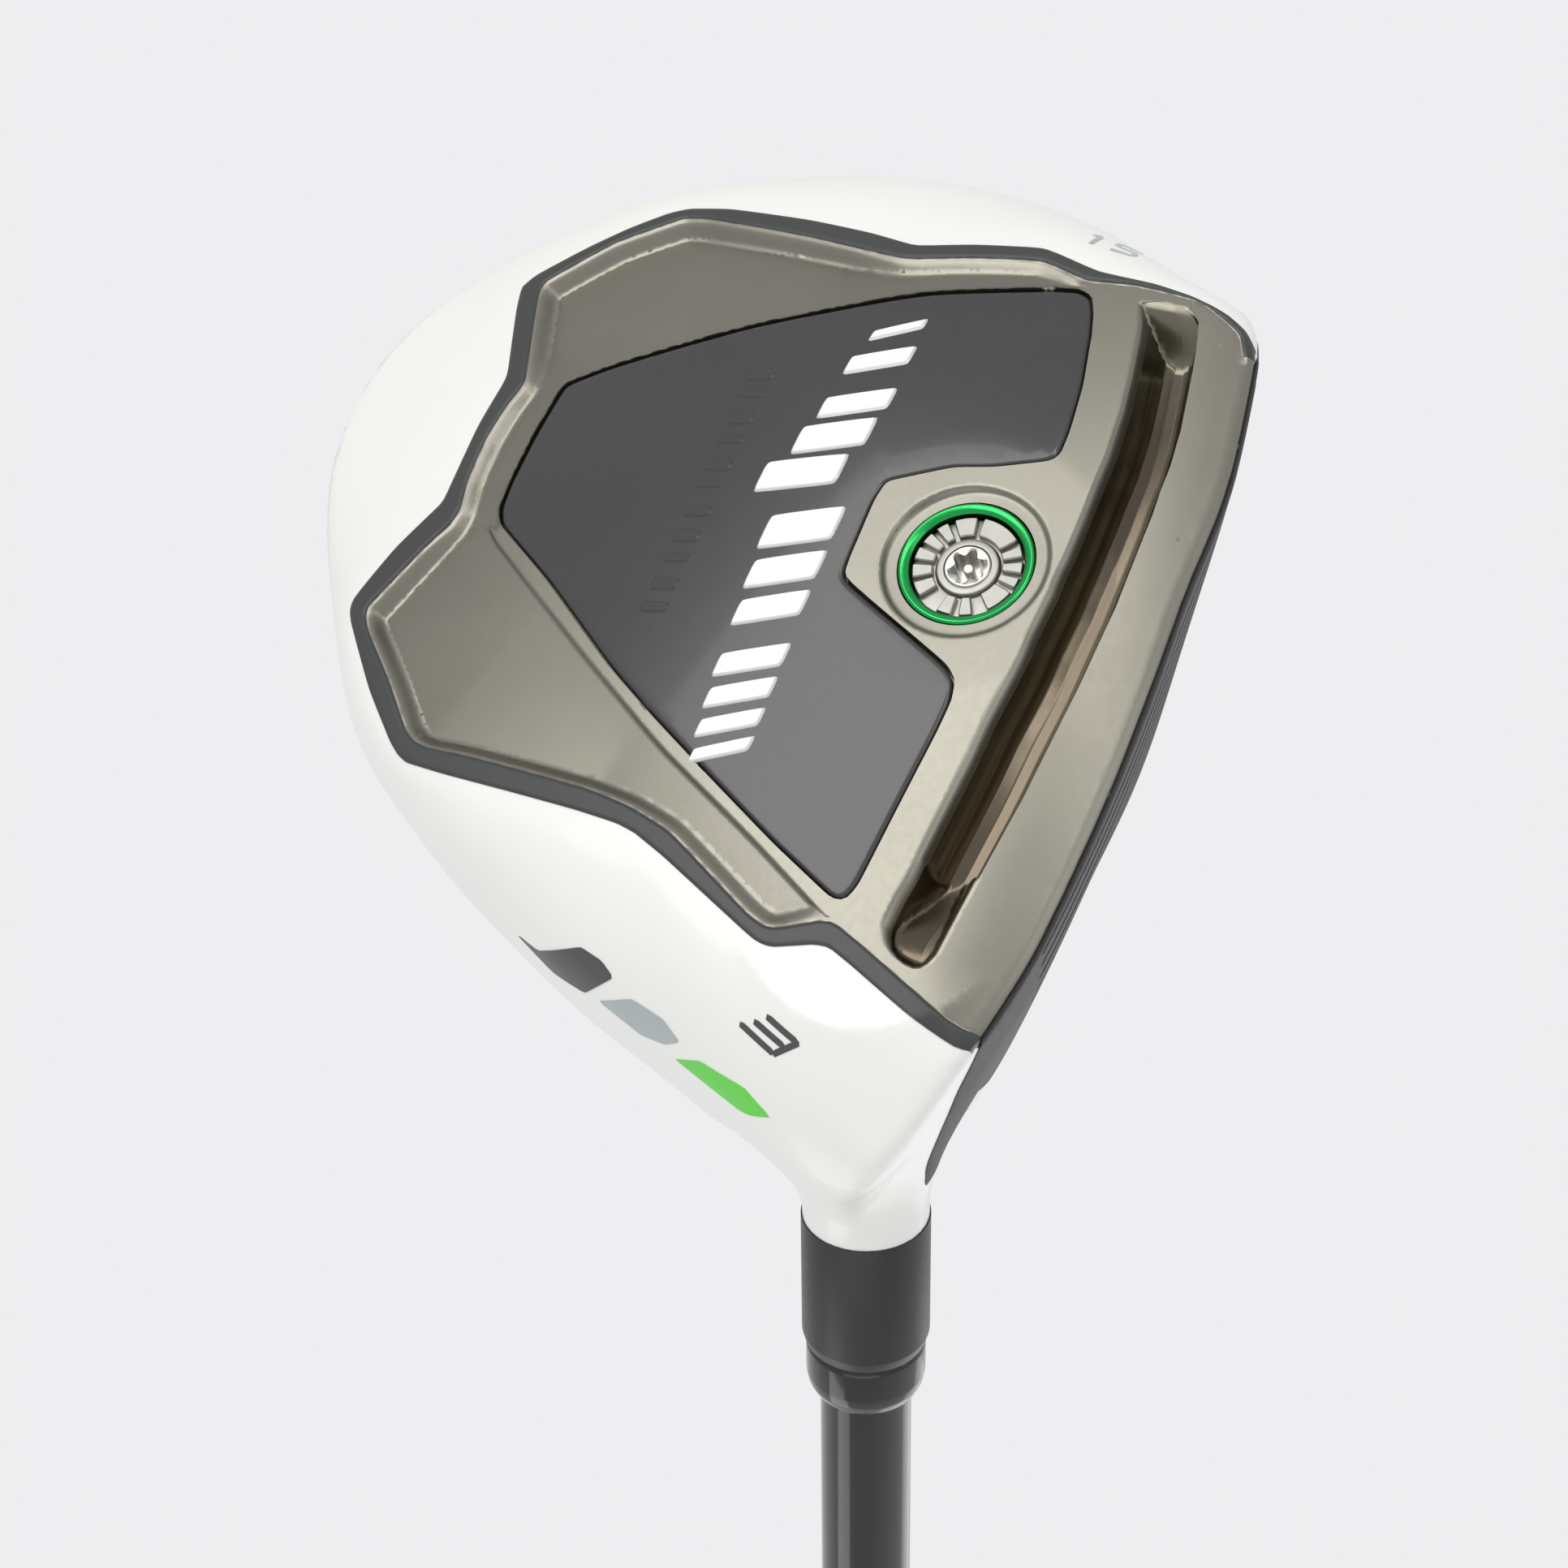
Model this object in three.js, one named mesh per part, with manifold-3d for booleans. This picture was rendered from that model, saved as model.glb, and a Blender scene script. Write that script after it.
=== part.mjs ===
// Right-handed fairway wood: hollow steel head with a weight port and a sole
// channel, bonded hosel, tapered graphite shaft and rubber grip.
// Millimetres. +Z up, +X towards the heel and the grip, +Y towards the rear of
// the head, face towards -Y. Origin on the flat of the sole, at address.
import * as THREE from 'three';
import { mergeVertices } from 'three/addons/utils/BufferGeometryUtils.js';
import Module from 'manifold-3d';

const wasm = await Module();
wasm.setup();

// ---- driving dimensions -------------------------------------------------
const LIE = 58.7;            // shaft to ground, degrees
const LOFT = 15;             // face loft, degrees
const CLUB_LENGTH = 1098;    // ground to grip end along the shaft (43.25 in)
const AX0 = [24.9, -3.6];    // shaft axis where it meets the ground plane
const PORT = [-10.5, 0];     // weight port axis
const WALL = 1.1;           // sole and skirt wall
const FACE_WALL = 2.6;       // hitting face thickness
const HOSEL_R = 6.1;         // hosel outer radius
const BORE_R = 4.8;          // hosel bore radius
const HOSEL_END = 51.2;      // end of the hosel along the shaft axis
const SHAFT_TIP_R = 4.48;    // shaft tip radius
const SHAFT_BUTT_R = 7.6;    // shaft butt radius
const SHAFT_TIP_Q = 17.6;    // foot of the shaft along its axis
const GRIP_LENGTH = 267;
const GAP = 0.3;             // assembly gap
const CHANNEL_DEPTH = 5.6;
const PANEL_T = 1.1;
const PITCH_TRAVEL = 8;      // travel of the weight out of its port
const CELL = 5.6;            // facet size of the head

// ---- head outline and its height functions -------------------------------
const C0 = [-5.0, 24.4];     // pole of the head's plan outline
const OUTLINE = [
  [-50.6, -9.2], [-54.6, -0.7], [-56.9, 5.4], [-58.3, 11.5], [-58.9, 19.0], [-58.7, 24.4],
  [-57.6, 30.4], [-55.9, 37.4], [-54.4, 41.4], [-51.1, 50.4], [-45.7, 58.4], [-40.0, 64.9],
  [-33.3, 70.4], [-26.0, 73.9], [-17.6, 75.0], [-8.7, 73.4], [-3.1, 70.9], [2.9, 67.6],
  [9.6, 63.6], [15.2, 60.0], [18.6, 57.0], [22.8, 51.3], [26.6, 45.7], [29.8, 40.2],
  [32.7, 34.4], [35.6, 28.6], [38.1, 22.4], [40.2, 15.9], [43.1, 8.5], [44.9, 4.4],
  [47.4, -1.6], [48.6, -8.6], [47.4, -15.6], [40.0, -25.6], [25.0, -33.0], [0.0, -36.0],
  [-25.0, -33.6], [-42.0, -25.0], [-47.8, -16.0]];
const SOLE_OUT = [
  [-40.07, -18.61], [-42.69, -16.54], [-44.14, -13.23], [-45.25, -6.63], [-45.31, -0.63],
  [-47.0, 5.69], [-45.87, 12.92], [-45.0, 18.78], [-45.36, 23.9], [-46.0, 31.1], [-46.31, 40.73],
  [-45.03, 47.45], [-42.53, 51.2], [-39.6, 54.79], [-35.43, 59.34], [-33.83, 60.28],
  [-31.06, 59.49], [-22.85, 56.51], [-16.29, 56.93], [-7.34, 56.81], [-1.26, 59.97],
  [5.1, 62.43], [7.31, 61.56], [14.32, 55.89], [19.35, 51.0], [21.07, 48.37], [21.6, 43.33],
  [22.83, 22.26], [30.64, 6.05], [30.84, 4.32], [31.2, -0.66], [33.78, -10.84], [36.0, -17.0],
  [30.0, -23.0], [10.0, -26.0], [-15.0, -26.0], [-34.0, -23.0]];

function polar(points) {
  const t = points.map(([x, y]) => [Math.atan2(y - C0[1], x - C0[0]), Math.hypot(x - C0[0], y - C0[1])])
    .sort((a, b) => a[0] - b[0]);
  const n = t.length;
  return (a) => {
    let i = 0;
    while (i < n && t[i][0] <= a) i++;
    const g = (k) => {
      const w = Math.floor(k / n);
      const p = t[((k % n) + n) % n];
      return [p[0] + w * 2 * Math.PI, p[1]];
    };
    const [p0, p1, p2, p3] = [g(i - 2), g(i - 1), g(i), g(i + 1)];
    const u = (a - p1[0]) / (p2[0] - p1[0]);
    const m1 = (p2[1] - p0[1]) / (p2[0] - p0[0]) * (p2[0] - p1[0]);
    const m2 = (p3[1] - p1[1]) / (p3[0] - p1[0]) * (p2[0] - p1[0]);
    const u2 = u * u, u3 = u2 * u;
    return (2 * u3 - 3 * u2 + 1) * p1[1] + (u3 - 2 * u2 + u) * m1 + (-2 * u3 + 3 * u2) * p2[1] + (u3 - u2) * m2;
  };
}
const N_TAB = 720;
function table(fn, blur) {
  const raw = Array.from({ length: N_TAB }, (_, i) => fn(-Math.PI + 2 * Math.PI * i / N_TAB));
  const out = raw.map((_, i) => {
    let s = 0, w = 0;
    for (let k = -3 * blur; k <= 3 * blur; k++) {
      const g = Math.exp(-0.5 * (k / blur) ** 2);
      s += g * raw[(i + k + N_TAB) % N_TAB]; w += g;
    }
    return s / w;
  });
  return (a) => {
    const u = (a + Math.PI) / (2 * Math.PI) * N_TAB;
    const i = Math.floor(u), f = u - i;
    return out[((i % N_TAB) + N_TAB) % N_TAB] * (1 - f) + out[(((i + 1) % N_TAB) + N_TAB) % N_TAB] * f;
  };
}
const rOut = table(polar(OUTLINE), 8);
const rSole = table(polar(SOLE_OUT), 6);

const sq = (v) => v * v;
function soleZ(x, y) {
  const d = (sq(x - PORT[0]) + sq(y - PORT[1])) / 520 - 0.35;
  return Math.max(0, d) + 0.014 * sq(Math.max(0, -9 - y));
}
const partZ = (x, y) => 12.2 + (74 - y) * 0.062 + Math.max(0, x) * 0.075;
const crownH = (x, y) => 19 - 0.17 * (y - 24) - 0.05 * Math.max(0, x - 10);
const faceY = (x, z) => -21.3 + (z - 2.4) * Math.tan(LOFT * Math.PI / 180) + sq(x + 1.1) / 440 - sq(z - 18) / 640 * -1;

function domeG(x, y, z, off) {
  const dx = x - C0[0], dy = y - C0[1];
  const a = Math.atan2(dy, dx), r = Math.hypot(dx, dy);
  const ro = rOut(a) - off, zp = partZ(x, y);
  if (z >= zp) {
    const zeta = Math.max(0, (z - zp) / (crownH(x, y) - off));
    return Math.pow(Math.pow(r / ro, 2.5) + Math.pow(zeta, 1.9), 1 / 2.2) - 1;
  }
  const rs = Math.min(rSole(a) * 0.985, ro - 2.5);
  const p = Math.max(0, (r - rs) / (ro - rs));
  const s = soleZ(x, y) + off;
  const zeta = Math.max(0, (zp - z) / Math.max(1, zp - s));
  return Math.hypot(Math.pow(p, 1.15), zeta) - 1;
}
function dome(x, y, z, off) {
  const g = domeG(x, y, z, off), e = 0.05;
  const gx = (domeG(x + e, y, z, off) - domeG(x - e, y, z, off)) / (2 * e);
  const gy = (domeG(x, y + e, z, off) - domeG(x, y - e, z, off)) / (2 * e);
  const gz = (domeG(x, y, z + e, off) - domeG(x, y, z - e, off)) / (2 * e);
  return g / Math.max(0.012, Math.hypot(gx, gy, gz));
}
function smax(a, b, k) { const h = Math.max(k - Math.abs(a - b), 0) / k; return Math.max(a, b) + h * h * k / 4; }
function smin(a, b, k) { return -smax(-a, -b, k); }
const ca = Math.cos(LIE * Math.PI / 180), sa = Math.sin(LIE * Math.PI / 180);
function axisQR(x, y, z) {
  const dx = x - AX0[0], dy = y - AX0[1];
  const q = dx * ca + z * sa;
  return [q, Math.hypot(dx * sa - z * ca, dy)];
}
function headField(x, y, z) {
  const d = dome(x, y, z, 0);
  const f = (faceY(x, z) - y) * Math.cos(LOFT * Math.PI / 180);
  return smax(d, f, 3.0);
}
function cavityField(x, y, z) {
  const d = dome(x, y, z, WALL);
  const f = (faceY(x, z) - y) * Math.cos(LOFT * Math.PI / 180) + FACE_WALL;
  const body = smax(d, f, 3.0);
  const [q, r] = axisQR(x, y, z);
  const neck = Math.max(HOSEL_R + 0.4 - r, q < 12 ? 12 - q : -99) * 1;
  const keep = (HOSEL_R + 0.4) - r;               // solid tube round the bore
  return smax(smax(body, keep, 4), x - 35, 3);
}

// ---- mesh helpers ---------------------------------------------------------
function toManifold(positions, tris) {
  return new wasm.Manifold(new wasm.Mesh({
    numProp: 3, vertProperties: new Float32Array(positions), triVerts: new Uint32Array(tris),
  }));
}
function geoToManifold(geo) {
  let g = geo.index ? geo.clone() : geo.clone();
  g.deleteAttribute('normal'); g.deleteAttribute('uv');
  g = mergeVertices(g, 1e-4);
  const idx = [];
  const a = g.index.array;
  for (let i = 0; i < a.length; i += 3) {
    if (a[i] !== a[i + 1] && a[i + 1] !== a[i + 2] && a[i] !== a[i + 2]) idx.push(a[i], a[i + 1], a[i + 2]);
  }
  return toManifold(g.attributes.position.array, idx);
}
function manifoldToGeo(m) {
  const mesh = m.getMesh();
  const pos = new Float32Array(mesh.numVert * 3);
  for (let i = 0; i < mesh.numVert; i++) for (let k = 0; k < 3; k++) pos[3 * i + k] = mesh.vertProperties[i * mesh.numProp + k];
  const g = new THREE.BufferGeometry();
  g.setAttribute('position', new THREE.BufferAttribute(pos, 3));
  g.setIndex(new THREE.BufferAttribute(new Uint32Array(mesh.triVerts), 1));
  const flat = g.toNonIndexed();
  flat.computeVertexNormals();
  return flat;
}
// closed surface of field < 0 on a regular grid, one vertex per crossed cell
function isoSolid(field, lo, hi, cell) {
  const n = lo.map((l, k) => Math.ceil((hi[k] - l) / cell));
  const P = (i, k) => lo[k] + i * cell;
  const idx = (i, j, k) => (k * (n[1] + 1) + j) * (n[0] + 1) + i;
  const val = new Float64Array((n[0] + 1) * (n[1] + 1) * (n[2] + 1));
  for (let k = 0; k <= n[2]; k++) for (let j = 0; j <= n[1]; j++) for (let i = 0; i <= n[0]; i++) val[idx(i, j, k)] = field(P(i, 0), P(j, 1), P(k, 2));
  const cut = new Map();
  function cross(a, b) {
    const key = idx(...a) * 4 + (b[0] !== a[0] ? 0 : b[1] !== a[1] ? 1 : 2);
    if (cut.has(key)) return cut.get(key);
    let t0 = 0, t1 = 1;
    const s0 = val[idx(...a)] < 0;
    const at = (t) => [0, 1, 2].map((k) => P(a[k] + (b[k] - a[k]) * t, k));
    for (let s = 0; s < 18; s++) { const m = (t0 + t1) / 2; if ((field(...at(m)) < 0) === s0) t0 = m; else t1 = m; }
    const r = at((t0 + t1) / 2);
    cut.set(key, r);
    return r;
  }
  const vid = new Map(), pos = [], tri = [];
  const edges = [];
  for (let d = 0; d < 3; d++) for (const u of [0, 1]) for (const v of [0, 1]) {
    const a = [0, 0, 0], b = [0, 0, 0];
    const o = [0, 1, 2].filter((k) => k !== d);
    a[o[0]] = b[o[0]] = u; a[o[1]] = b[o[1]] = v; b[d] = 1;
    edges.push([a, b]);
  }
  function vertex(i, j, k) {
    const key = idx(i, j, k);
    if (vid.has(key)) return vid.get(key);
    const s = [0, 0, 0]; let c = 0;
    for (const [a, b] of edges) {
      const A = [i + a[0], j + a[1], k + a[2]], B = [i + b[0], j + b[1], k + b[2]];
      if ((val[idx(...A)] < 0) !== (val[idx(...B)] < 0)) { const p = cross(A, B); s[0] += p[0]; s[1] += p[1]; s[2] += p[2]; c++; }
    }
    const id = pos.length / 3;
    pos.push(s[0] / c, s[1] / c, s[2] / c);
    vid.set(key, id);
    return id;
  }
  for (let k = 1; k < n[2]; k++) for (let j = 1; j < n[1]; j++) for (let i = 1; i < n[0]; i++) for (let d = 0; d < 3; d++) {
    const b = [i, j, k]; b[d]++;
    const s0 = val[idx(i, j, k)] < 0, s1 = val[idx(...b)] < 0;
    if (s0 === s1) continue;
    const o = [(d + 1) % 3, (d + 2) % 3];
    const c = (u, v) => { const q = [i, j, k]; q[o[0]] -= u; q[o[1]] -= v; return vertex(...q); };
    const q = [c(1, 1), c(0, 1), c(0, 0), c(1, 0)];
    if (!s0) q.reverse();
    tri.push(q[0], q[1], q[2], q[0], q[2], q[3]);
  }
  return toManifold(pos, tri);
}
function resample(loop, n) {
  const L = [0];
  for (let i = 0; i < loop.length; i++) { const a = loop[i], b = loop[(i + 1) % loop.length]; L.push(L[i] + Math.hypot(b[0] - a[0], b[1] - a[1])); }
  const out = [];
  for (let k = 0; k < n; k++) {
    const s = L[loop.length] * k / n;
    let i = 0; while (L[i + 1] < s) i++;
    const f = (s - L[i]) / (L[i + 1] - L[i]), a = loop[i], b = loop[(i + 1) % loop.length];
    out.push([a[0] + (b[0] - a[0]) * f, a[1] + (b[1] - a[1]) * f]);
  }
  return out;
}
function offsetLoop(loop, d) {
  const n = loop.length;
  let area = 0;
  for (let i = 0; i < n; i++) { const a = loop[i], b = loop[(i + 1) % n]; area += a[0] * b[1] - a[1] * b[0]; }
  const sgn = area > 0 ? 1 : -1;
  return loop.map((p, i) => {
    const a = loop[(i + n - 1) % n], b = loop[(i + 1) % n];
    const e1 = [p[0] - a[0], p[1] - a[1]], e2 = [b[0] - p[0], b[1] - p[1]];
    const l1 = Math.hypot(...e1), l2 = Math.hypot(...e2);
    const nx = sgn * (e1[1] / l1 + e2[1] / l2), ny = -sgn * (e1[0] / l1 + e2[0] / l2), l = Math.hypot(nx, ny);
    const c = Math.max(0.6, l / 2);
    return [p[0] + nx / l * d / c, p[1] + ny / l * d / c];
  });
}
// slab between two height functions over a star-shaped outline
function polarSlab(centre, loop, rings, zBot, zTop, map = (u, v, w) => [u, v, w]) {
  let area = 0;
  for (let i = 0; i < loop.length; i++) { const a = loop[i], b = loop[(i + 1) % loop.length]; area += a[0] * b[1] - a[1] * b[0]; }
  if (area < 0) loop = loop.slice().reverse();
  const n = loop.length, pos = [], tri = [];
  for (const zf of [zTop, zBot]) {
    pos.push(...map(centre[0], centre[1], zf(centre[0], centre[1])));
    for (let r = 1; r <= rings; r++) for (let i = 0; i < n; i++) {
      const x = centre[0] + (loop[i][0] - centre[0]) * r / rings, y = centre[1] + (loop[i][1] - centre[1]) * r / rings;
      pos.push(...map(x, y, zf(x, y)));
    }
  }
  const per = 1 + rings * n;
  const id = (s, r, i) => s * per + (r === 0 ? 0 : 1 + (r - 1) * n + ((i + n) % n));
  for (let s = 0; s < 2; s++) for (let i = 0; i < n; i++) {
    const f = (a, b, c) => (s === 0 ? tri.push(a, b, c) : tri.push(a, c, b));
    f(id(s, 0, 0), id(s, 1, i), id(s, 1, i + 1));
    for (let r = 1; r < rings; r++) {
      f(id(s, r, i), id(s, r + 1, i), id(s, r + 1, i + 1));
      f(id(s, r, i), id(s, r + 1, i + 1), id(s, r, i + 1));
    }
  }
  for (let i = 0; i < n; i++) {
    const a = id(0, rings, i), b = id(0, rings, i + 1), c = id(1, rings, i), d = id(1, rings, i + 1);
    tri.push(a, c, d, a, d, b);
  }
  return [pos, tri];
}
// slab between two open curves in plan
function stripSlab(A, B, zBot, zTop) {
  const n = A.length, pos = [], tri = [];
  for (let i = 0; i < n; i++) for (const [p, zf] of [[A[i], zBot], [B[i], zBot], [B[i], zTop], [A[i], zTop]]) pos.push(p[0], p[1], zf(p[0], p[1]));
  const q = (a, b, c, d) => tri.push(a, b, c, a, c, d);
  for (let i = 0; i < n - 1; i++) for (let k = 0; k < 4; k++) {
    const k2 = (k + 1) % 4;
    q(4 * i + k, 4 * (i + 1) + k, 4 * (i + 1) + k2, 4 * i + k2);
  }
  q(0, 1, 2, 3);
  q(4 * (n - 1) + 3, 4 * (n - 1) + 2, 4 * (n - 1) + 1, 4 * (n - 1));
  return [pos, tri];
}
function orient([pos, tri]) {
  let v = 0;
  for (let i = 0; i < tri.length; i += 3) {
    const [a, b, c] = [tri[i] * 3, tri[i + 1] * 3, tri[i + 2] * 3];
    v += pos[a] * (pos[b + 1] * pos[c + 2] - pos[b + 2] * pos[c + 1]) - pos[a + 1] * (pos[b] * pos[c + 2] - pos[b + 2] * pos[c]) + pos[a + 2] * (pos[b] * pos[c + 1] - pos[b + 1] * pos[c]);
  }
  if (v < 0) for (let i = 0; i < tri.length; i += 3) [tri[i + 1], tri[i + 2]] = [tri[i + 2], tri[i + 1]];
  return toManifold(pos, tri);
}
function rawGeo([pos, tri]) { return manifoldToGeo(orient([pos, tri])); }
function lathe(profile, seg = 32) {           // profile: [r, z] pairs, revolved about +Z
  let area = 0;
  profile.forEach(([r, z], i) => { const [r2, z2] = profile[(i + 1) % profile.length]; area += r * z2 - r2 * z; });
  if (area < 0) profile = profile.slice().reverse();
  const g = new THREE.LatheGeometry(profile.map(([r, z]) => new THREE.Vector2(r, z)), seg);
  g.rotateX(Math.PI / 2);                      // Y axis of the lathe becomes +Z
  return g;
}
function ring(rIn, rOuter, z0, z1, seg = 32) {
  if (rIn <= 0) return lathe([[0, z0], [rOuter, z0], [rOuter, z1], [0, z1]], seg);
  return lathe([[rIn, z0], [rOuter, z0], [rOuter, z1], [rIn, z1], [rIn, z0]], seg);
}
function latheSolid(profile, seg = 32, matrix = null) {
  const g = lathe(profile, seg);
  if (matrix) g.applyMatrix4(matrix);
  let m = geoToManifold(g);
  if (m.volume() < 0) { const s = geoToManifold(flip(g)); m = s; }
  return m;
}
function flip(g) {
  let h = g.clone(); h.deleteAttribute('normal'); h.deleteAttribute('uv'); h = mergeVertices(h, 1e-4);
  const a = h.index.array;
  for (let i = 0; i < a.length; i += 3) { const t = a[i + 1]; a[i + 1] = a[i + 2]; a[i + 2] = t; }
  return h;
}
const cyl = (r, z0, z1, seg = 32, matrix = null) => latheSolid([[0, z0], [r, z0], [r, z1], [0, z1]], seg, matrix);
const atPort = new THREE.Matrix4().makeTranslation(PORT[0], PORT[1], 0);
const onAxis = new THREE.Matrix4().makeTranslation(AX0[0], AX0[1], 0)
  .multiply(new THREE.Matrix4().makeRotationY((90 - LIE) * Math.PI / 180));
const boxSolid = (lo, hi) => {
  const g = new THREE.BoxGeometry(hi[0] - lo[0], hi[1] - lo[1], hi[2] - lo[2]);
  g.translate((hi[0] + lo[0]) / 2, (hi[1] + lo[1]) / 2, (hi[2] + lo[2]) / 2);
  return geoToManifold(g);
};

// neck of the hosel, flared into the heel
const NECK = [[0, 14], [7, 14], [10.6, 17], [11.2, 20], [9.8, 25], [7.9, 30], [6.7, 34.5], [HOSEL_R, 39], [HOSEL_R, HOSEL_END], [0, HOSEL_END]];

// ---- head shell -------------------------------------------------------------
const LO = [-70.3, -36.1, -11.7], HI = [64.7, 90, 58];
const outer = isoSolid(headField, LO, HI, CELL)
  .subtract(boxSolid([-80, -60, -20], [80, 100, 0.02]))
  .add(latheSolid(NECK, 24, onAxis));
let cavity = isoSolid(cavityField, LO, HI, CELL);

// sole channel
const CH_REAR = [[-42.9, -7.6], [-40.53, -6.47], [-34.26, -7.8], [-30.45, -8.38], [-25.23, -8.82], [-16.85, -8.86], [-9.58, -8.63], [-2.81, -8.28], [4.78, -7.5], [13.74, -6.6], [21.27, -5.68], [26.07, -4.97], [28.9, -7.6]];
const CH_FRONT = [[-43.2, -9.6], [-41.6, -12.2], [-36.54, -13.5], [-29.59, -14.74], [-25.43, -15.16], [-19.86, -15.36], [-9.61, -15.39], [-0.95, -14.88], [5.6, -14.3], [11.24, -13.64], [19.4, -12.4], [27.3, -11.05], [29.3, -9.4]];
function widen(A, B, d) {
  const n = A.length;
  return [A, B].map((L, s) => L.map((p, i) => {
    const o = (s === 0 ? B : A)[i];
    const l = Math.hypot(p[0] - o[0], p[1] - o[1]);
    const e = i === 0 ? -d : i === n - 1 ? d : 0;
    return [p[0] + (p[0] - o[0]) / l * d + e, p[1] + (p[1] - o[1]) / l * d];
  }));
}
function channelBox(d, z0, z1) { const [a, b] = widen(CH_REAR, CH_FRONT, d); return orient(stripSlab(a, b, (x, y) => soleZ(x, y) + z0, (x, y) => soleZ(x, y) + z1)); }
const channelCut = channelBox(0, -4, CHANNEL_DEPTH + 1.5);
const channelBlock = channelBox(1.3, -4, CHANNEL_DEPTH + 3.0);

// sole panel and its recess
const PANEL = [[-22.26, 49.13], [-24.86, 45.18], [-31.96, 31.82], [-37.81, 18.44], [-39.29, 14.63], [-42.3, 2.81], [-42.66, 0.4], [-42.14, -0.91], [-40.36, -1.75], [-37.47, -2.6], [-31.75, -3.92], [-26.51, -4.56], [-23.93, -4.61], [-23.27, -4.28], [-22.87, -3.76], [-21.08, 0.99], [-20.16, 4.85], [-17.6, 9.9], [-16.67, 10.87], [-14.73, 11.22], [-8.27, 11.24], [-6.3, 11.08], [-5.0, 9.2], [0.52, -2.17], [1.8, -3.4], [3.77, -3.8], [7.48, -3.53], [23.17, -1.51], [24.63, -0.81], [24.77, 0.36], [20.94, 7.98], [16.37, 16.11], [11.37, 24.66], [7.49, 30.77], [-0.23, 41.08], [-5.39, 48.92], [-7.17, 49.85], [-10.32, 50.06], [-16.14, 49.86], [-21.22, 49.32]];
const P_STAR = [-13.1, 27.7];
const panelLoop = resample(PANEL, 48);
const slab = (loop, z0, z1, rings = 3) => polarSlab(P_STAR, loop, rings, (x, y) => soleZ(x, y) + z0, (x, y) => soleZ(x, y) + z1);
const panelCut = orient(slab(offsetLoop(panelLoop, GAP), -4, PANEL_T + GAP * 2 + 0.3));
const panelBlock = orient(slab(offsetLoop(panelLoop, 1.6), -4, PANEL_T + GAP * 2 + 1.6));

// weight port
const portBlock = cyl(9.6, -1, 9.9, 32, atPort).add(cyl(4.6, -1, 18.4, 24, atPort));
const portCut = cyl(7.9, -2, 1.0, 32, atPort).add(cyl(6.75, -2, 8.5, 28, atPort)).add(cyl(2.25, 0, 17.0, 24, atPort));

cavity = cavity.subtract(channelBlock).subtract(panelBlock).subtract(portBlock)
  .subtract(cyl(HOSEL_R + 0.2, 8, 60, 24, onAxis));
{
  const parts = cavity.decompose();
  parts.sort((a, b) => b.volume() - a.volume());
  cavity = parts[0];
}
let shell = outer.subtract(cavity).subtract(channelCut).subtract(panelCut).subtract(portCut)
  .subtract(cyl(BORE_R, 13.5, 70, 22, onAxis));

// crown plate: a slab that follows the crown, wider than the wall
function crownZ(x, y) {
  let a = partZ(x, y) + 0.2, b = 60;
  for (let i = 0; i < 24; i++) { const m = (a + b) / 2; if (domeG(x, y, m, 0) < 0) a = m; else b = m; }
  return a;
}
const CROWN_LOOP = [];
for (let i = 0; i < 44; i++) {
  const a = -Math.PI + 2 * Math.PI * i / 44;
  let r = rOut(a) - 7.5;
  let x = C0[0] + r * Math.cos(a), y = C0[1] + r * Math.sin(a);
  const yMin = -7.0 + sq(x + 1) / 420;
  if (y < yMin) { const k = (yMin - C0[1]) / (y - C0[1]); x = C0[0] + (x - C0[0]) * k; y = yMin; }
  const dh = Math.hypot(x - 41, y + 3.6);
  if (dh < 22) { const k = (22 - dh) / Math.max(dh, 1e-6); x += Math.min(0, (x - 41)) * k * 0.9; y += Math.max(0, (y + 3.6)) * k * 0.5; }
  CROWN_LOOP.push([x, y]);
}
for (let pass = 0; pass < 6; pass++) {
  const n = CROWN_LOOP.length, old = CROWN_LOOP.map((p) => p.slice());
  for (let i = 0; i < n; i++) for (let k = 0; k < 2; k++) CROWN_LOOP[i][k] = (old[(i + n - 1) % n][k] + 2 * old[i][k] + old[(i + 1) % n][k]) / 4;
}
const crownSlab = (d) => orient(polarSlab(C0, offsetLoop(CROWN_LOOP, d), 5, (x, y) => crownZ(x, y) - WALL - 2.2 - d, (x, y) => crownZ(x, y) + 4));
const crownPlate = shell.intersect(crownSlab(0));
shell = shell.subtract(crownSlab(GAP));

// face plate: follows the bulge of the face
const FACE_LOOP = [];
for (let i = 0; i < 56; i++) {
  const a = 2 * Math.PI * i / 56, c = Math.cos(a), s = Math.sin(a);
  const u = Math.sign(c) * Math.pow(Math.abs(c), 0.75) * 34, v = Math.sign(s) * Math.pow(Math.abs(s), 0.75) * 12.2;
  FACE_LOOP.push([-8 + u, 18.6 + v - u * 0.06 - (u > 0 ? 0.0011 * u * u : 0)]);
}
const FACE_RIM = resample(FACE_LOOP, 36);
for (let pass = 0; pass < 3; pass++) {
  const n = FACE_RIM.length, old = FACE_RIM.map((p) => p.slice());
  for (let i = 0; i < n; i++) for (let k = 0; k < 2; k++) FACE_RIM[i][k] = (old[(i + n - 1) % n][k] + 2 * old[i][k] + old[(i + 1) % n][k]) / 4;
}
const faceSlab = (d) => orient(polarSlab([-8, 18.6], offsetLoop(FACE_RIM, d), 3,
  (x, z) => faceY(x, z) - 4, (x, z) => faceY(x, z) + FACE_WALL + 0.5 + d, (u, v, w) => [u, w, v]));
const facePlate = shell.intersect(faceSlab(0));
shell = shell.subtract(faceSlab(GAP));

const biggest = (m) => { const p = m.decompose(); p.sort((a, b) => b.volume() - a.volume()); return p[0]; };

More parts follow.
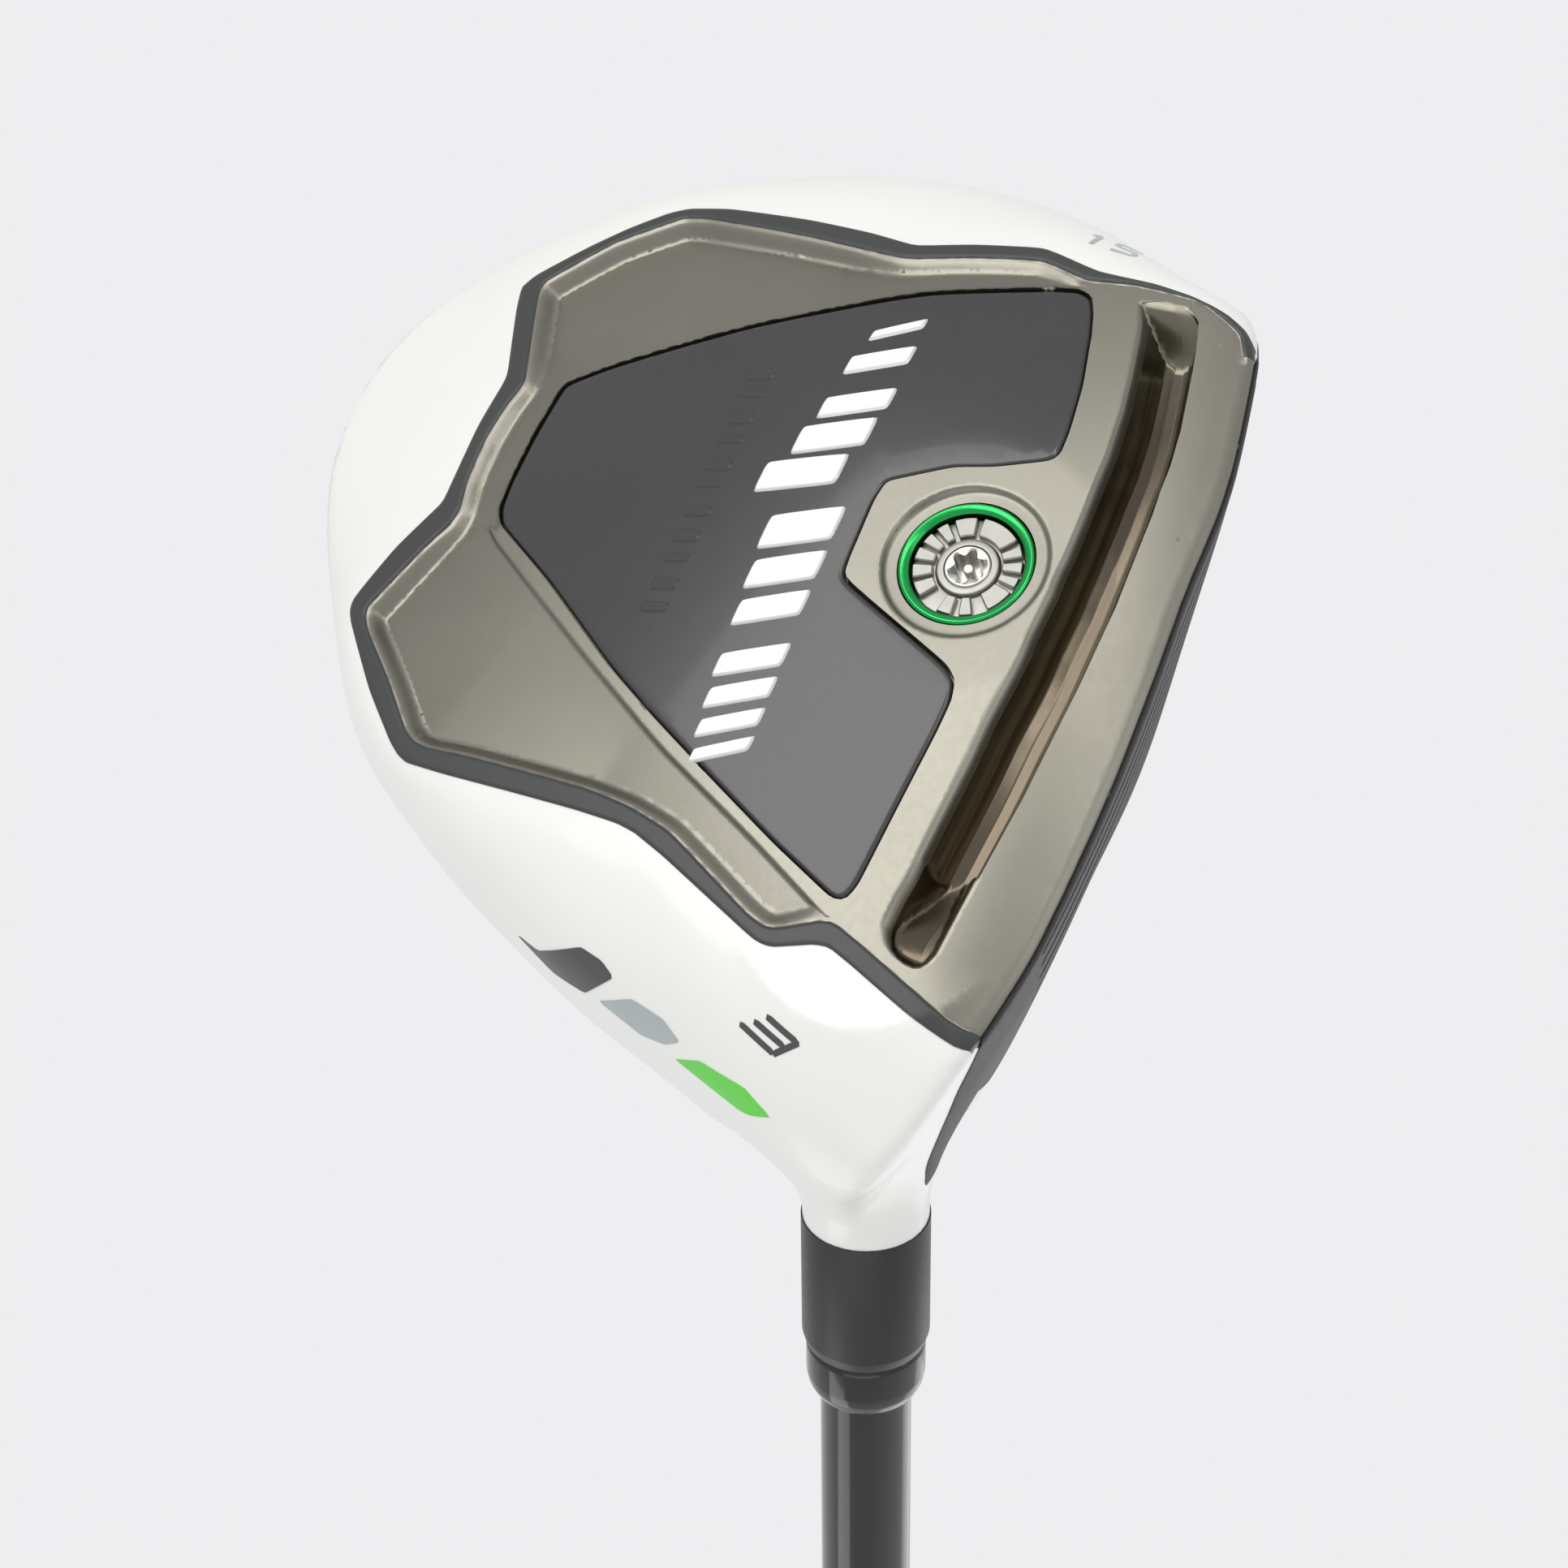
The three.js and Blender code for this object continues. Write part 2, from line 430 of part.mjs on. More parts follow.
// ---- materials ---------------------------------------------------------------
const mat = (color, roughness, metalness) => new THREE.MeshStandardMaterial({ color, roughness, metalness });
const root = new THREE.Group();
function add(name, geo, material, parent = root) {
  const m = new THREE.Mesh(geo, material);
  m.name = name;
  parent.add(m);
  return m;
}
add('body_casting', manifoldToGeo(biggest(shell)), mat(0xe9e7e4, 0.28, 0.25));
add('crown_plate', manifoldToGeo(biggest(crownPlate)), mat(0xf2f2f2, 0.2, 0.1));
add('face_plate', manifoldToGeo(biggest(facePlate)), mat(0x2c2c2e, 0.45, 0.6));

// ---- sole panel, its strokes and its bonding film -----------------------------
add('sole_panel', rawGeo(slab(panelLoop, 0, PANEL_T)), mat(0x2f3133, 0.12, 0.3));
add('panel_adhesive', rawGeo(slab(resample(offsetLoop(panelLoop, -1.2), 32), PANEL_T + GAP, PANEL_T + GAP + 0.3, 3)), mat(0x4a4a46, 0.8, 0));
function stroke(A, B, w, h) {
  const n = 7, L = Math.hypot(B[0] - A[0], B[1] - A[1]), nx = -(B[1] - A[1]) / L * w / 2, ny = (B[0] - A[0]) / L * w / 2;
  const P = [], Q = [];
  for (let i = 0; i < n; i++) { const t = i / (n - 1), x = A[0] + (B[0] - A[0]) * t, y = A[1] + (B[1] - A[1]) * t; P.push([x + nx, y + ny]); Q.push([x - nx, y - ny]); }
  return rawGeo(stripSlab(P, Q, (x, y) => soleZ(x, y) - 0.02 - h, (x, y) => soleZ(x, y) - 0.02 - 0.05));
}
add('channel_insert', (() => {
  const [a, b] = widen(CH_REAR, CH_FRONT, -GAP);
  a[0][0] += GAP; b[0][0] += GAP; a[12][0] -= GAP; b[12][0] -= GAP;
  return rawGeo(stripSlab(a, b, (x, y) => soleZ(x, y) + CHANNEL_DEPTH, (x, y) => soleZ(x, y) + CHANNEL_DEPTH + 1.2));
})(), mat(0x17181a, 0.7, 0));

// ---- weight port --------------------------------------------------------------
const port = new THREE.Group();
port.position.set(PORT[0], PORT[1], 0);
root.add(port);
add('weight_port_cup', lathe([[6.0, 0.35], [6.45, 0.35], [6.45, 8.2], [2.3, 8.2], [2.3, 7.4], [6.0, 7.4], [6.0, 0.35]], 28), mat(0x2f9a3c, 0.3, 0.8), port);
add('port_gasket', ring(3.6, 5.7, 6.75, 7.1, 24), mat(0x151515, 0.8, 0), port);
const capGeo = (() => {
  let m = geoToManifold(ring(2.55, 5.45, 1.5, 2.9, 28));
  if (m.volume() < 0) m = geoToManifold(flip(ring(2.55, 5.45, 1.5, 2.9, 28)));
  for (let i = 0; i < 12; i++) {
    const g = new THREE.BoxGeometry(2.0, 0.55, 0.9);
    g.translate(4.1, 0, 1.35);
    g.rotateZ(i * Math.PI / 6 + 0.26);
    m = m.add(geoToManifold(g));
  }
  return manifoldToGeo(m);
})();
add('weight_cap', capGeo, mat(0xb9b8b6, 0.32, 0.95), port);
add('weight_core', lathe([[2.55, 3.2], [5.4, 3.2], [5.4, 5.5], [2.2, 5.5], [2.2, 3.75], [2.55, 3.75], [2.55, 3.2]], 24), mat(0x77746f, 0.5, 0.9), port);
add('screw_clip', ring(2.2, 3.3, 5.8, 6.4, 24), mat(0x55534f, 0.45, 0.9), port);
const screwGeo = (() => {
  const prof = [[0, 1.0], [2.1, 1.0], [2.25, 1.15], [2.25, 3.45], [1.9, 3.45], [1.9, 15.6], [1.5, 16.1], [0, 16.1]];
  let m = latheSolid(prof, 32);
  const shape = new THREE.Shape();
  for (let i = 0; i <= 48; i++) {
    const a = 2 * Math.PI * i / 48, r = 1.36 + 0.17 * Math.cos(6 * a);
    i === 0 ? shape.moveTo(r * Math.cos(a), r * Math.sin(a)) : shape.lineTo(r * Math.cos(a), r * Math.sin(a));
  }
  const hole = new THREE.Path();
  for (let i = 0; i < 16; i++) { const a = -2 * Math.PI * i / 16; i === 0 ? hole.moveTo(0.5 * Math.cos(a), 0.5 * Math.sin(a)) : hole.lineTo(0.5 * Math.cos(a), 0.5 * Math.sin(a)); }
  hole.closePath();
  shape.holes.push(hole);
  const g = new THREE.ExtrudeGeometry(shape, { depth: 3, bevelEnabled: false });
  g.translate(0, 0, -0.2);
  let s = geoToManifold(g);
  m = m.subtract(s);
  return manifoldToGeo(m);
})();
add('weight_screw', screwGeo, mat(0x8d8a86, 0.35, 0.95), port);

// ---- loose-particle pad inside the head ----------------------------------------
add('rattle_pad', (() => {
  const loop = [];
  for (let i = 0; i < 24; i++) loop.push([6 + 7.5 * Math.cos(i * Math.PI / 12), 24 + 5.5 * Math.sin(i * Math.PI / 12)]);
  const z0 = PANEL_T + GAP * 2 + 1.6 + 0.35;
  return rawGeo(polarSlab([6, 24], loop, 3, (x, y) => soleZ(x, y) + z0, (x, y) => soleZ(x, y) + z0 + 0.5 + 2.2 * Math.max(0, 1 - sq((x - 6) / 7.5) - sq((y - 24) / 5.5))));
})(), mat(0xc9b27a, 0.9, 0));

// ---- shaft, ferrule and grip -----------------------------------------------------
const shaftLine = new THREE.Group();
shaftLine.position.set(AX0[0], AX0[1], 0);
shaftLine.rotation.y = (90 - LIE) * Math.PI / 180;
root.add(shaftLine);
const shaftR = (q) => (q < 200 ? SHAFT_TIP_R : SHAFT_TIP_R + (SHAFT_BUTT_R - SHAFT_TIP_R) * (q - 200) / (CLUB_LENGTH - 4 - 200));
const stations = [];
for (let i = 0; i <= 5; i++) stations.push(200 + (CLUB_LENGTH - 4.2 - 200) * i / 5);
add('shaft', lathe([
  [3.5, SHAFT_TIP_Q], [SHAFT_TIP_R, SHAFT_TIP_Q], ...stations.map((q) => [shaftR(q), q]),
  ...stations.slice().reverse().map((q) => [shaftR(q) - 0.95, q]), [3.5, SHAFT_TIP_Q]], 18), mat(0x0c0c0d, 0.12, 0.1), shaftLine);
add('hosel_plug', lathe([[0, 14.0], [4.3, 14.0], [4.5, 14.4], [4.5, 17.2], [0, 17.2]], 24), mat(0x8a8275, 0.8, 0), shaftLine);
add('shaft_tip_plug', lathe([[0, 18.2], [2.95, 18.2], [2.95, 37.2], [2.5, 38.0], [0, 38.0]], 20), mat(0x9a7a33, 0.4, 0.9), shaftLine);
add('ferrule', lathe([[4.8, 51.5], [5.55, 51.5], [5.87, 53.0], [5.82, 57.4], [5.68, 58.6], [5.35, 59.6], [4.95, 60.2], [4.8, 60.2], [4.8, 51.5]], 24), mat(0x101011, 0.1, 0), shaftLine);
const G0 = CLUB_LENGTH - GRIP_LENGTH, G1 = CLUB_LENGTH - 4.2;
add('grip_tape', (() => {
  const s = []; for (let i = 0; i <= 3; i++) s.push(G0 + 8 + (G1 - G0 - 10) * i / 3);
  return lathe([...s.map((q) => [shaftR(q) + 0.8, q]), ...s.slice().reverse().map((q) => [shaftR(q) + 0.35, q]), [shaftR(s[0]) + 0.8, s[0]]], 18);
})(), mat(0xd8d2bf, 0.8, 0), shaftLine);
const gripR = (q) => 9.9 + (13.3 - 9.9) * Math.pow((q - G0) / (G1 - G0), 1.15);
add('grip_sleeve', (() => {
  const s = []; for (let i = 0; i <= 5; i++) s.push(G0 + 3 + (G1 - G0 - 3) * i / 5);
  const inner = s.slice().reverse().map((q) => [shaftR(q) + 1.15, q]);
  return lathe([[shaftR(G0) + 1.15, G0], [gripR(G0) - 1.2, G0], ...s.map((q) => [gripR(q), q]), ...inner, [shaftR(G0) + 1.15, G0]], 18);
})(), mat(0x1c1c1d, 0.85, 0), shaftLine);
add('grip_cap', lathe([[1.5, G1 + 0.4], [13.6, G1 + 0.4], [13.6, G1 + 2.4], [12.2, CLUB_LENGTH], [1.5, CLUB_LENGTH], [1.5, G1 + 0.4]], 24), mat(0x19191a, 0.7, 0), shaftLine);

export default root;
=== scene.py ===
import bpy
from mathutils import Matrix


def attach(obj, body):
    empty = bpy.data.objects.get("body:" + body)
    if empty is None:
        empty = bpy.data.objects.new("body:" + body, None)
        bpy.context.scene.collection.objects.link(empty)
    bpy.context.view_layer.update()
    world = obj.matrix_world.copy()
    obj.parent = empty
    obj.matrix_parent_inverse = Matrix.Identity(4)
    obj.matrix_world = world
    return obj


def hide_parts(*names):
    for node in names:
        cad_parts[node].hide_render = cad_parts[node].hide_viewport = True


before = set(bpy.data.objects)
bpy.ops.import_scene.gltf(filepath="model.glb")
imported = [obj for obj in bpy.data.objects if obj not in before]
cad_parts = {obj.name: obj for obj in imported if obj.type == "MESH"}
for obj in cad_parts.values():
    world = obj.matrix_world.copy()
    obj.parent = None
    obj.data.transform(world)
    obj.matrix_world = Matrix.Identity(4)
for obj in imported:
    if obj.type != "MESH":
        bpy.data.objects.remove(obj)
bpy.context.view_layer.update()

import bpy, math
import numpy as np
from mathutils import Vector, Matrix, geometry

# ------------------------------------------------------------------ sizes (mm, row frame)
LIE, LOFT = math.radians(58.7), math.radians(15.0)
AX0 = (24.9, -3.6)
PORT = (-10.5, 0.0)
HOSEL_R = 6.1
CA, SA = math.cos(LIE), math.sin(LIE)
C0 = (-5.0, 24.4)
OUTLINE = [(-50.6,-9.2),(-54.6,-0.7),(-56.9,5.4),(-58.3,11.5),(-58.9,19.0),(-58.7,24.4),(-57.6,30.4),(-55.9,37.4),(-54.4,41.4),(-51.1,50.4),(-45.7,58.4),(-40.0,64.9),(-33.3,70.4),(-26.0,73.9),(-17.6,75.0),(-8.7,73.4),(-3.1,70.9),(2.9,67.6),(9.6,63.6),(15.2,60.0),(18.6,57.0),(22.8,51.3),(26.6,45.7),(29.8,40.2),(32.7,34.4),(35.6,28.6),(38.1,22.4),(40.2,15.9),(43.1,8.5),(44.9,4.4),(47.4,-1.6),(48.6,-8.6),(47.4,-15.6),(40.0,-25.6),(25.0,-33.0),(0.0,-36.0),(-25.0,-33.6),(-42.0,-25.0),(-47.8,-16.0)]
SOLE_OUT = [(-40.07,-18.61),(-42.69,-16.54),(-44.14,-13.23),(-45.25,-6.63),(-45.31,-0.63),(-47.0,5.69),(-45.87,12.92),(-45.0,18.78),(-45.36,23.9),(-46.0,31.1),(-46.31,40.73),(-45.03,47.45),(-42.53,51.2),(-39.6,54.79),(-35.43,59.34),(-33.83,60.28),(-31.06,59.49),(-22.85,56.51),(-16.29,56.93),(-7.34,56.81),(-1.26,59.97),(5.1,62.43),(7.31,61.56),(14.32,55.89),(19.35,51.0),(21.07,48.37),(21.6,43.33),(22.83,22.26),(30.64,6.05),(30.84,4.32),(31.2,-0.66),(33.78,-10.84),(36.0,-17.0),(30.0,-23.0),(10.0,-26.0),(-15.0,-26.0),(-34.0,-23.0)]
BAND_OUT = [(-40.07,-18.61),(-41.2,-17.99),(-42.69,-16.54),(-43.73,-14.58),(-44.14,-13.23),(-44.68,-11.0),(-45.25,-6.63),(-45.31,-0.63),(-47.0,5.69),(-45.87,12.92),(-44.56,18.78),(-45.36,23.9),(-46.0,31.1),(-46.31,40.73),(-45.86,45.39),(-45.03,47.45),(-42.53,51.2),(-39.6,54.79),(-35.43,59.34),(-33.83,60.28),(-31.06,59.49),(-22.85,56.51),(-21.62,56.41),(-16.29,56.93),(-7.34,56.81),(-6.64,56.98),(-1.26,59.97),(5.1,62.43),(6.18,62.21),(7.31,61.56),(14.32,55.89),(19.35,51.0),(20.45,49.63),(21.07,48.37),(21.6,43.33),(22.83,22.26),(30.64,6.05),(30.84,4.32),(29.18,-0.66),(33.78,-10.84),(34.83,-15.02),(34.63,-17.2)]
BAND_IN = [(-39.6,-17.4),(-42.0,-16.2),(-43.2,-14.0),(-44.38,-11.51),(-44.6,-4.78),(-43.92,0.03),(-45.35,5.3),(-44.22,12.24),(-42.65,19.14),(-43.8,30.12),(-44.7,42.4),(-44.56,44.76),(-44.3,45.62),(-40.57,51.75),(-34.67,57.72),(-33.14,57.77),(-22.26,54.0),(-21.24,54.0),(-18.93,54.69),(-14.86,55.22),(-9.76,55.06),(-6.16,54.33),(-4.49,54.74),(-1.84,56.38),(5.68,60.18),(6.67,59.91),(7.95,59.1),(13.17,53.92),(17.87,49.8),(18.79,48.41),(19.23,46.76),(19.32,41.94),(20.21,27.75),(21.0,22.99),(22.5,18.03),(28.29,7.75),(29.01,5.82),(29.04,4.98),(28.72,3.86),(26.81,-0.37),(32.74,-13.58),(33.1,-15.59),(32.94,-17.03)]
PANEL = [(-22.26,49.13),(-24.86,45.18),(-31.96,31.82),(-37.81,18.44),(-39.29,14.63),(-42.3,2.81),(-42.66,0.4),(-42.14,-0.91),(-40.36,-1.75),(-37.47,-2.6),(-31.75,-3.92),(-26.51,-4.56),(-23.93,-4.61),(-23.27,-4.28),(-22.87,-3.76),(-21.08,0.99),(-20.16,4.85),(-17.23,10.49),(-16.67,10.87),(-14.73,11.22),(-8.27,11.24),(-5.93,11.08),(0.52,-2.17),(1.8,-3.4),(3.77,-3.8),(7.48,-3.53),(23.17,-1.51),(24.63,-0.81),(24.77,0.36),(20.94,7.98),(16.37,16.11),(11.37,24.66),(7.49,30.77),(-0.23,41.08),(-5.39,48.92),(-7.17,49.85),(-10.32,50.06),(-16.14,49.86),(-21.22,49.32)]
CH_REAR = [(-42.72,-5.65),(-40.53,-6.47),(-39.08,-6.84),(-34.26,-7.8),(-30.45,-8.38),(-25.23,-8.82),(-16.85,-8.84),(-13.66,-8.77),(-11.82,-8.63),(-9.58,-8.63),(-5.02,-8.27),(-2.81,-8.28),(-0.1,-8.06),(4.78,-7.41),(8.62,-7.18),(13.74,-6.6),(21.27,-5.68),(23.39,-5.22),(25.04,-5.01),(26.07,-4.97),(26.94,-5.28),(27.95,-5.88),(28.7,-6.86),(29.16,-8.06),(29.36,-9.32)]
CH_FRONT = [(29.08,-10.01),(28.44,-10.58),(27.52,-11.05),(11.24,-13.64),(1.71,-14.63),(-0.95,-14.88),(-9.61,-15.39),(-19.86,-15.36),(-22.6,-15.2),(-25.43,-15.16),(-29.59,-14.74),(-36.54,-13.5),(-38.88,-12.99),(-42.16,-12.07),(-42.99,-10.79),(-43.33,-9.84),(-43.39,-8.57),(-43.18,-6.99)]
LE = [(-21.55,-20.19),(-18.05,-20.59),(-14.05,-20.77),(-10.49,-20.81),(-7.51,-21.04),(-0.59,-21.05),(10.39,-20.82),(14.64,-20.41),(17.92,-19.92),(21.39,-19.63),(24.2,-19.12),(28.48,-18.57),(33.96,-17.36)]
CREASE = [(-4.79,49.91),(-3.53,48.64),(0.36,43.19),(7.29,33.13),(13.35,23.85),(15.13,20.94),(21.02,10.05),(26.76,0.05)]
BLOB = [(35.02,-15.69,8.86),(36.31,-14.84,10.61),(38.39,-13.25,14.92),(39.89,-11.56,19.65),(40.79,-10.7,22.13),(41.2,-10.4,25.0)]
STAR = (-13.1, 27.7)

# ------------------------------------------------------------------ the head's shape as a field
def table(points, blur, n=720):
    t = sorted((math.atan2(y-C0[1], x-C0[0]), math.hypot(x-C0[0], y-C0[1])) for x, y in points)
    m = len(t); A = np.array([p[0] for p in t]); Rr = np.array([p[1] for p in t])
    g = lambda k: (A[k % m]+2*math.pi*(k//m), Rr[k % m])
    out = []
    for i in range(n):
        a = -math.pi+2*math.pi*i/n
        j = int(np.searchsorted(A, a, side='right'))
        p0, p1, p2, p3 = g(j-2), g(j-1), g(j), g(j+1)
        h = p2[0]-p1[0]; u = (a-p1[0])/h
        m1 = (p2[1]-p0[1])/(p2[0]-p0[0])*h; m2 = (p3[1]-p1[1])/(p3[0]-p1[0])*h
        out.append((2*u**3-3*u*u+1)*p1[1]+(u**3-2*u*u+u)*m1+(3*u*u-2*u**3)*p2[1]+(u**3-u*u)*m2)
    raw = np.array(out); k = np.arange(-3*blur, 3*blur+1); w = np.exp(-0.5*(k/blur)**2); w /= w.sum()
    return np.array([(w*raw[(i+k) % n]).sum() for i in range(n)])
T_OUT, T_SOLE = table(OUTLINE, 8), table(SOLE_OUT, 6)
def look(T, a):
    u = (a+math.pi)/(2*math.pi)*720; i = np.floor(u).astype(int); f = u-i
    return T[i % 720]*(1-f)+T[(i+1) % 720]*f
def soleZ(x, y):
    return np.maximum(0, ((x-PORT[0])**2+(y-PORT[1])**2)/520-0.35)+0.014*np.maximum(0, -9-y)**2
def partZ(x, y): return 12.2+(74-y)*0.062+np.maximum(0, x)*0.075
def crownH(x, y): return 19-0.17*(y-24)-0.05*np.maximum(0, x-10)
def ease(t): t = np.clip(t, 0, 1); return t*t*(3-2*t)
def faceY(x, z):
    toe = ease((-x-10)/18); tip = ease((-x-38)/12)
    return -21.3+(z-2.4)*math.tan(LOFT)+(x+1.1)**2/440+(z-18)**2/640+np.maximum(0, x-22)**2/160+0.07*ease((x+14)/26)*np.clip(z-14, 0, 30)-1.3*toe*(1-0.6*tip)+0.06*np.clip(z-3, 0, 30)*toe
def domeG(x, y, z, over):
    dx = x-C0[0]; dy = y-C0[1]; a = np.arctan2(dy, dx); r = np.hypot(dx, dy); ro = look(T_OUT, a); zp = partZ(x, y)
    ze = np.maximum(0, (z-zp)/crownH(x, y))
    up = ((r/ro)**2.5+ze**1.9)**(1/2.2)-1
    rs = np.minimum(look(T_SOLE, a)*0.985, ro-2.5)
    p = np.maximum(0, (r-rs)/(ro-rs)); s = soleZ(x, y)
    zl = np.maximum(0, (zp-z)/np.maximum(1, zp-s))
    return np.where(over, up, np.hypot(p**1.15, zl)-1)
def dome(x, y, z):
    e = 0.05; w = z >= partZ(x, y); g = domeG(x, y, z, w)
    gx = (domeG(x+e, y, z, w)-domeG(x-e, y, z, w))/(2*e); gy = (domeG(x, y+e, z, w)-domeG(x, y-e, z, w))/(2*e); gz = (domeG(x, y, z+e, w)-domeG(x, y, z-e, w))/(2*e)
    return g/np.maximum(0.012, np.sqrt(gx*gx+gy*gy+gz*gz))
def smax(a, b, k):
    h = np.maximum(k-np.abs(a-b), 0)/k; return np.maximum(a, b)+h*h*k/4
def smin(a, b, k): return -smax(-a, -b, k)
def axisQR(x, y, z):
    dx = x-AX0[0]; dy = y-AX0[1]; return dx*CA+z*SA, np.hypot(dx*SA-z*CA, dy)
def body(x, y, z):
    q, r = axisQR(x, y, z)
    return smax(dome(x, y, z), (faceY(x, z)-0.25-y)*math.cos(LOFT), 1.8)+0.016*np.maximum(0, q-19)**2*np.clip((15-r)/6, 0, 1)
def head(x, y, z):
    q, r = axisQR(x, y, z)
    return smin(body(x, y, z), np.maximum(np.maximum(r-HOSEL_R, q-60), 11-q), 7.0)
QJ = 36.3
def shell(x, y, z): return np.maximum(head(x, y, z), axisQR(x, y, z)[0]-QJ-2.6)
def grad(F, P, e=0.06):
    x, y, z = P.T
    return np.c_[F(x+e, y, z)-F(x-e, y, z), F(x, y+e, z)-F(x, y-e, z), F(x, y, z+e)-F(x, y, z-e)]/(2*e)
def unit(v): return v/np.maximum(1e-9, np.linalg.norm(v, axis=-1, keepdims=True))
def scan(F, base, step, n):
    """First crossing into the solid along base + t*step, for many starts at once."""
    prev = np.full(len(base), 1.0); t0 = np.zeros(len(base)); found = np.zeros(len(base), bool); T = np.zeros(len(base))
    for i in range(n+1):
        P = base+step*i
        v = F(P[:, 0], P[:, 1], P[:, 2]); new = (~found) & (v < 0)
        T[new] = i; found |= new
    lo, hi = np.maximum(T-1, 0), T
    for _ in range(16):
        m = (lo+hi)/2; P = base+step*m[:, None]; v = F(P[:, 0], P[:, 1], P[:, 2])
        hi = np.where(v < 0, m, hi); lo = np.where(v < 0, lo, m)
    return base+step*((lo+hi)/2)[:, None], found
def soleRoot(xy):
    xy = np.asarray(xy, float)
    P, ok = scan(head, np.c_[xy, np.full(len(xy), -1.0)], np.array([0, 0, 0.3]), 60)
    P[~ok, 2] = soleZ(P[~ok, 0], P[~ok, 1])
    return P[:, 2], ok
def faceRoot(xz):
    xz = np.asarray(xz, float)
    P, ok = scan(head, np.c_[xz[:, 0], np.full(len(xz), -26.0), xz[:, 1]], np.array([0, 0.4, 0]), 60)
    P[~ok, 1] = faceY(P[~ok, 0], P[~ok, 2])
    return P[:, 1], ok

# ------------------------------------------------------------------ plane helpers
def inside(poly, P):
    poly = np.asarray(poly); x, y = P[:, 0], P[:, 1]; c = np.zeros(len(P), bool); j = len(poly)-1
    for i in range(len(poly)):
        xi, yi, xj, yj = *poly[i], *poly[j]
        if yi != yj:
            c ^= ((yi > y) != (yj > y)) & (x < (xj-xi)*(y-yi)/(yj-yi)+xi)
        j = i
    return c
def dist(line, P, closed=False):
    L = np.asarray(line, float)
    if closed: L = np.vstack([L, L[:1]])
    d = np.full(len(P), 1e9)
    for a, b in zip(L[:-1], L[1:]):
        ab = b-a; t = np.clip(((P-a)@ab)/max(1e-12, ab@ab), 0, 1)
        d = np.minimum(d, np.linalg.norm(P-(a+t[:, None]*ab), axis=1))
    return d
def chaikin(L, closed=True, n=2, w=0.14, keep=None):
    L = np.asarray(L, float)
    for _ in range(n):
        M = np.vstack([L, L[:1]]) if closed else L
        out = [] if closed else [L[0]]
        for a, b in zip(M[:-1], M[1:]):
            out += [a+(b-a)*w, b-(b-a)*w]
        if not closed: out.append(L[-1])
        L = np.array(out); w = 0.22
    return L
def resample(L, step, closed=False):
    L = np.asarray(L, float)
    if closed: L = np.vstack([L, L[:1]])
    s = np.r_[0, np.cumsum(np.linalg.norm(np.diff(L, axis=0), axis=1))]
    n = max(2, int(round(s[-1]/step))+1); u = np.linspace(0, s[-1], n)
    u = np.unique(np.r_[u]); out = np.c_[[np.interp(u, s, L[:, k]) for k in range(L.shape[1])]].T
    return out[:-1] if closed else out
def area(L): L = np.asarray(L); x, y = L[:, 0], L[:, 1]; return 0.5*np.sum(x*np.roll(y, -1)-np.roll(x, -1)*y)
def offset(L, d, closed=True):
    """Shift a loop inwards (d > 0) along its normals."""
    L = np.asarray(L, float)
    if closed:
        s = 1 if area(L) > 0 else -1
        a = unit(L-np.roll(L, 1, 0)); b = unit(np.roll(L, -1, 0)-L)
    else:
        s = 1; e = unit(np.diff(L, axis=0)); a = np.vstack([e[:1], e]); b = np.vstack([e, e[-1:]])
    n1 = np.c_[-a[:, 1], a[:, 0]]*s; n2 = np.c_[-b[:, 1], b[:, 0]]*s; n = unit(n1+n2)
    k = 1/np.maximum(0.45, np.sum(n*n1, axis=1))
    return L+n*(d*k)[:, None]
def cdt(outline, holes=(), lines=(), pts=(), keep=None):
    V, E = [], []
    def add(L, closed):
        i0 = len(V); V.extend(Vector((float(p[0]), float(p[1]))) for p in L)
        E.extend((i0+i, i0+i+1) for i in range(len(L)-1))
        if closed: E.append((i0+len(L)-1, i0))
    add(outline, True)
    for h in holes: add(h, True)
    for L, c in lines: add(L, c)
    V.extend(Vector((float(p[0]), float(p[1]))) for p in pts)
    v, _, f = geometry.delaunay_2d_cdt(V, E, [], 0, 1e-5)[:3]
    v = np.array([(p[0], p[1]) for p in v]); f = np.array([t for t in f if len(t) == 3], int)
    c = v[f].mean(1); ok = inside(outline, c)
    for h in holes: ok &= ~inside(h, c)
    f = f[ok]; used = np.unique(f); m = -np.ones(len(v), int); m[used] = np.arange(len(used))
    v = v[used]; f = m[f]
    a = v[f]; flip = ((a[:, 1, 0]-a[:, 0, 0])*(a[:, 2, 1]-a[:, 0, 1])-(a[:, 1, 1]-a[:, 0, 1])*(a[:, 2, 0]-a[:, 0, 0])) < 0
    f[flip] = f[flip][:, ::-1]
    return v, f
def slab(top, bot, tri, flip=False):
    """Closed slab between two copies of one triangulation."""
    n = len(top); e = {}
    for a, b, c in tri.tolist():
        for p, q in ((a, b), (b, c), (c, a)): e[(p, q)] = 1
    side = [(p, q) for p, q in e if (q, p) not in e]
    F = [tuple(t) for t in tri.tolist()]+[(c+n, b+n, a+n) for a, b, c in tri.tolist()]+[(q, p, p+n, q+n) for p, q in side]
    if flip: F = [tuple(reversed(t)) for t in F]
    return np.vstack([top, bot]), F

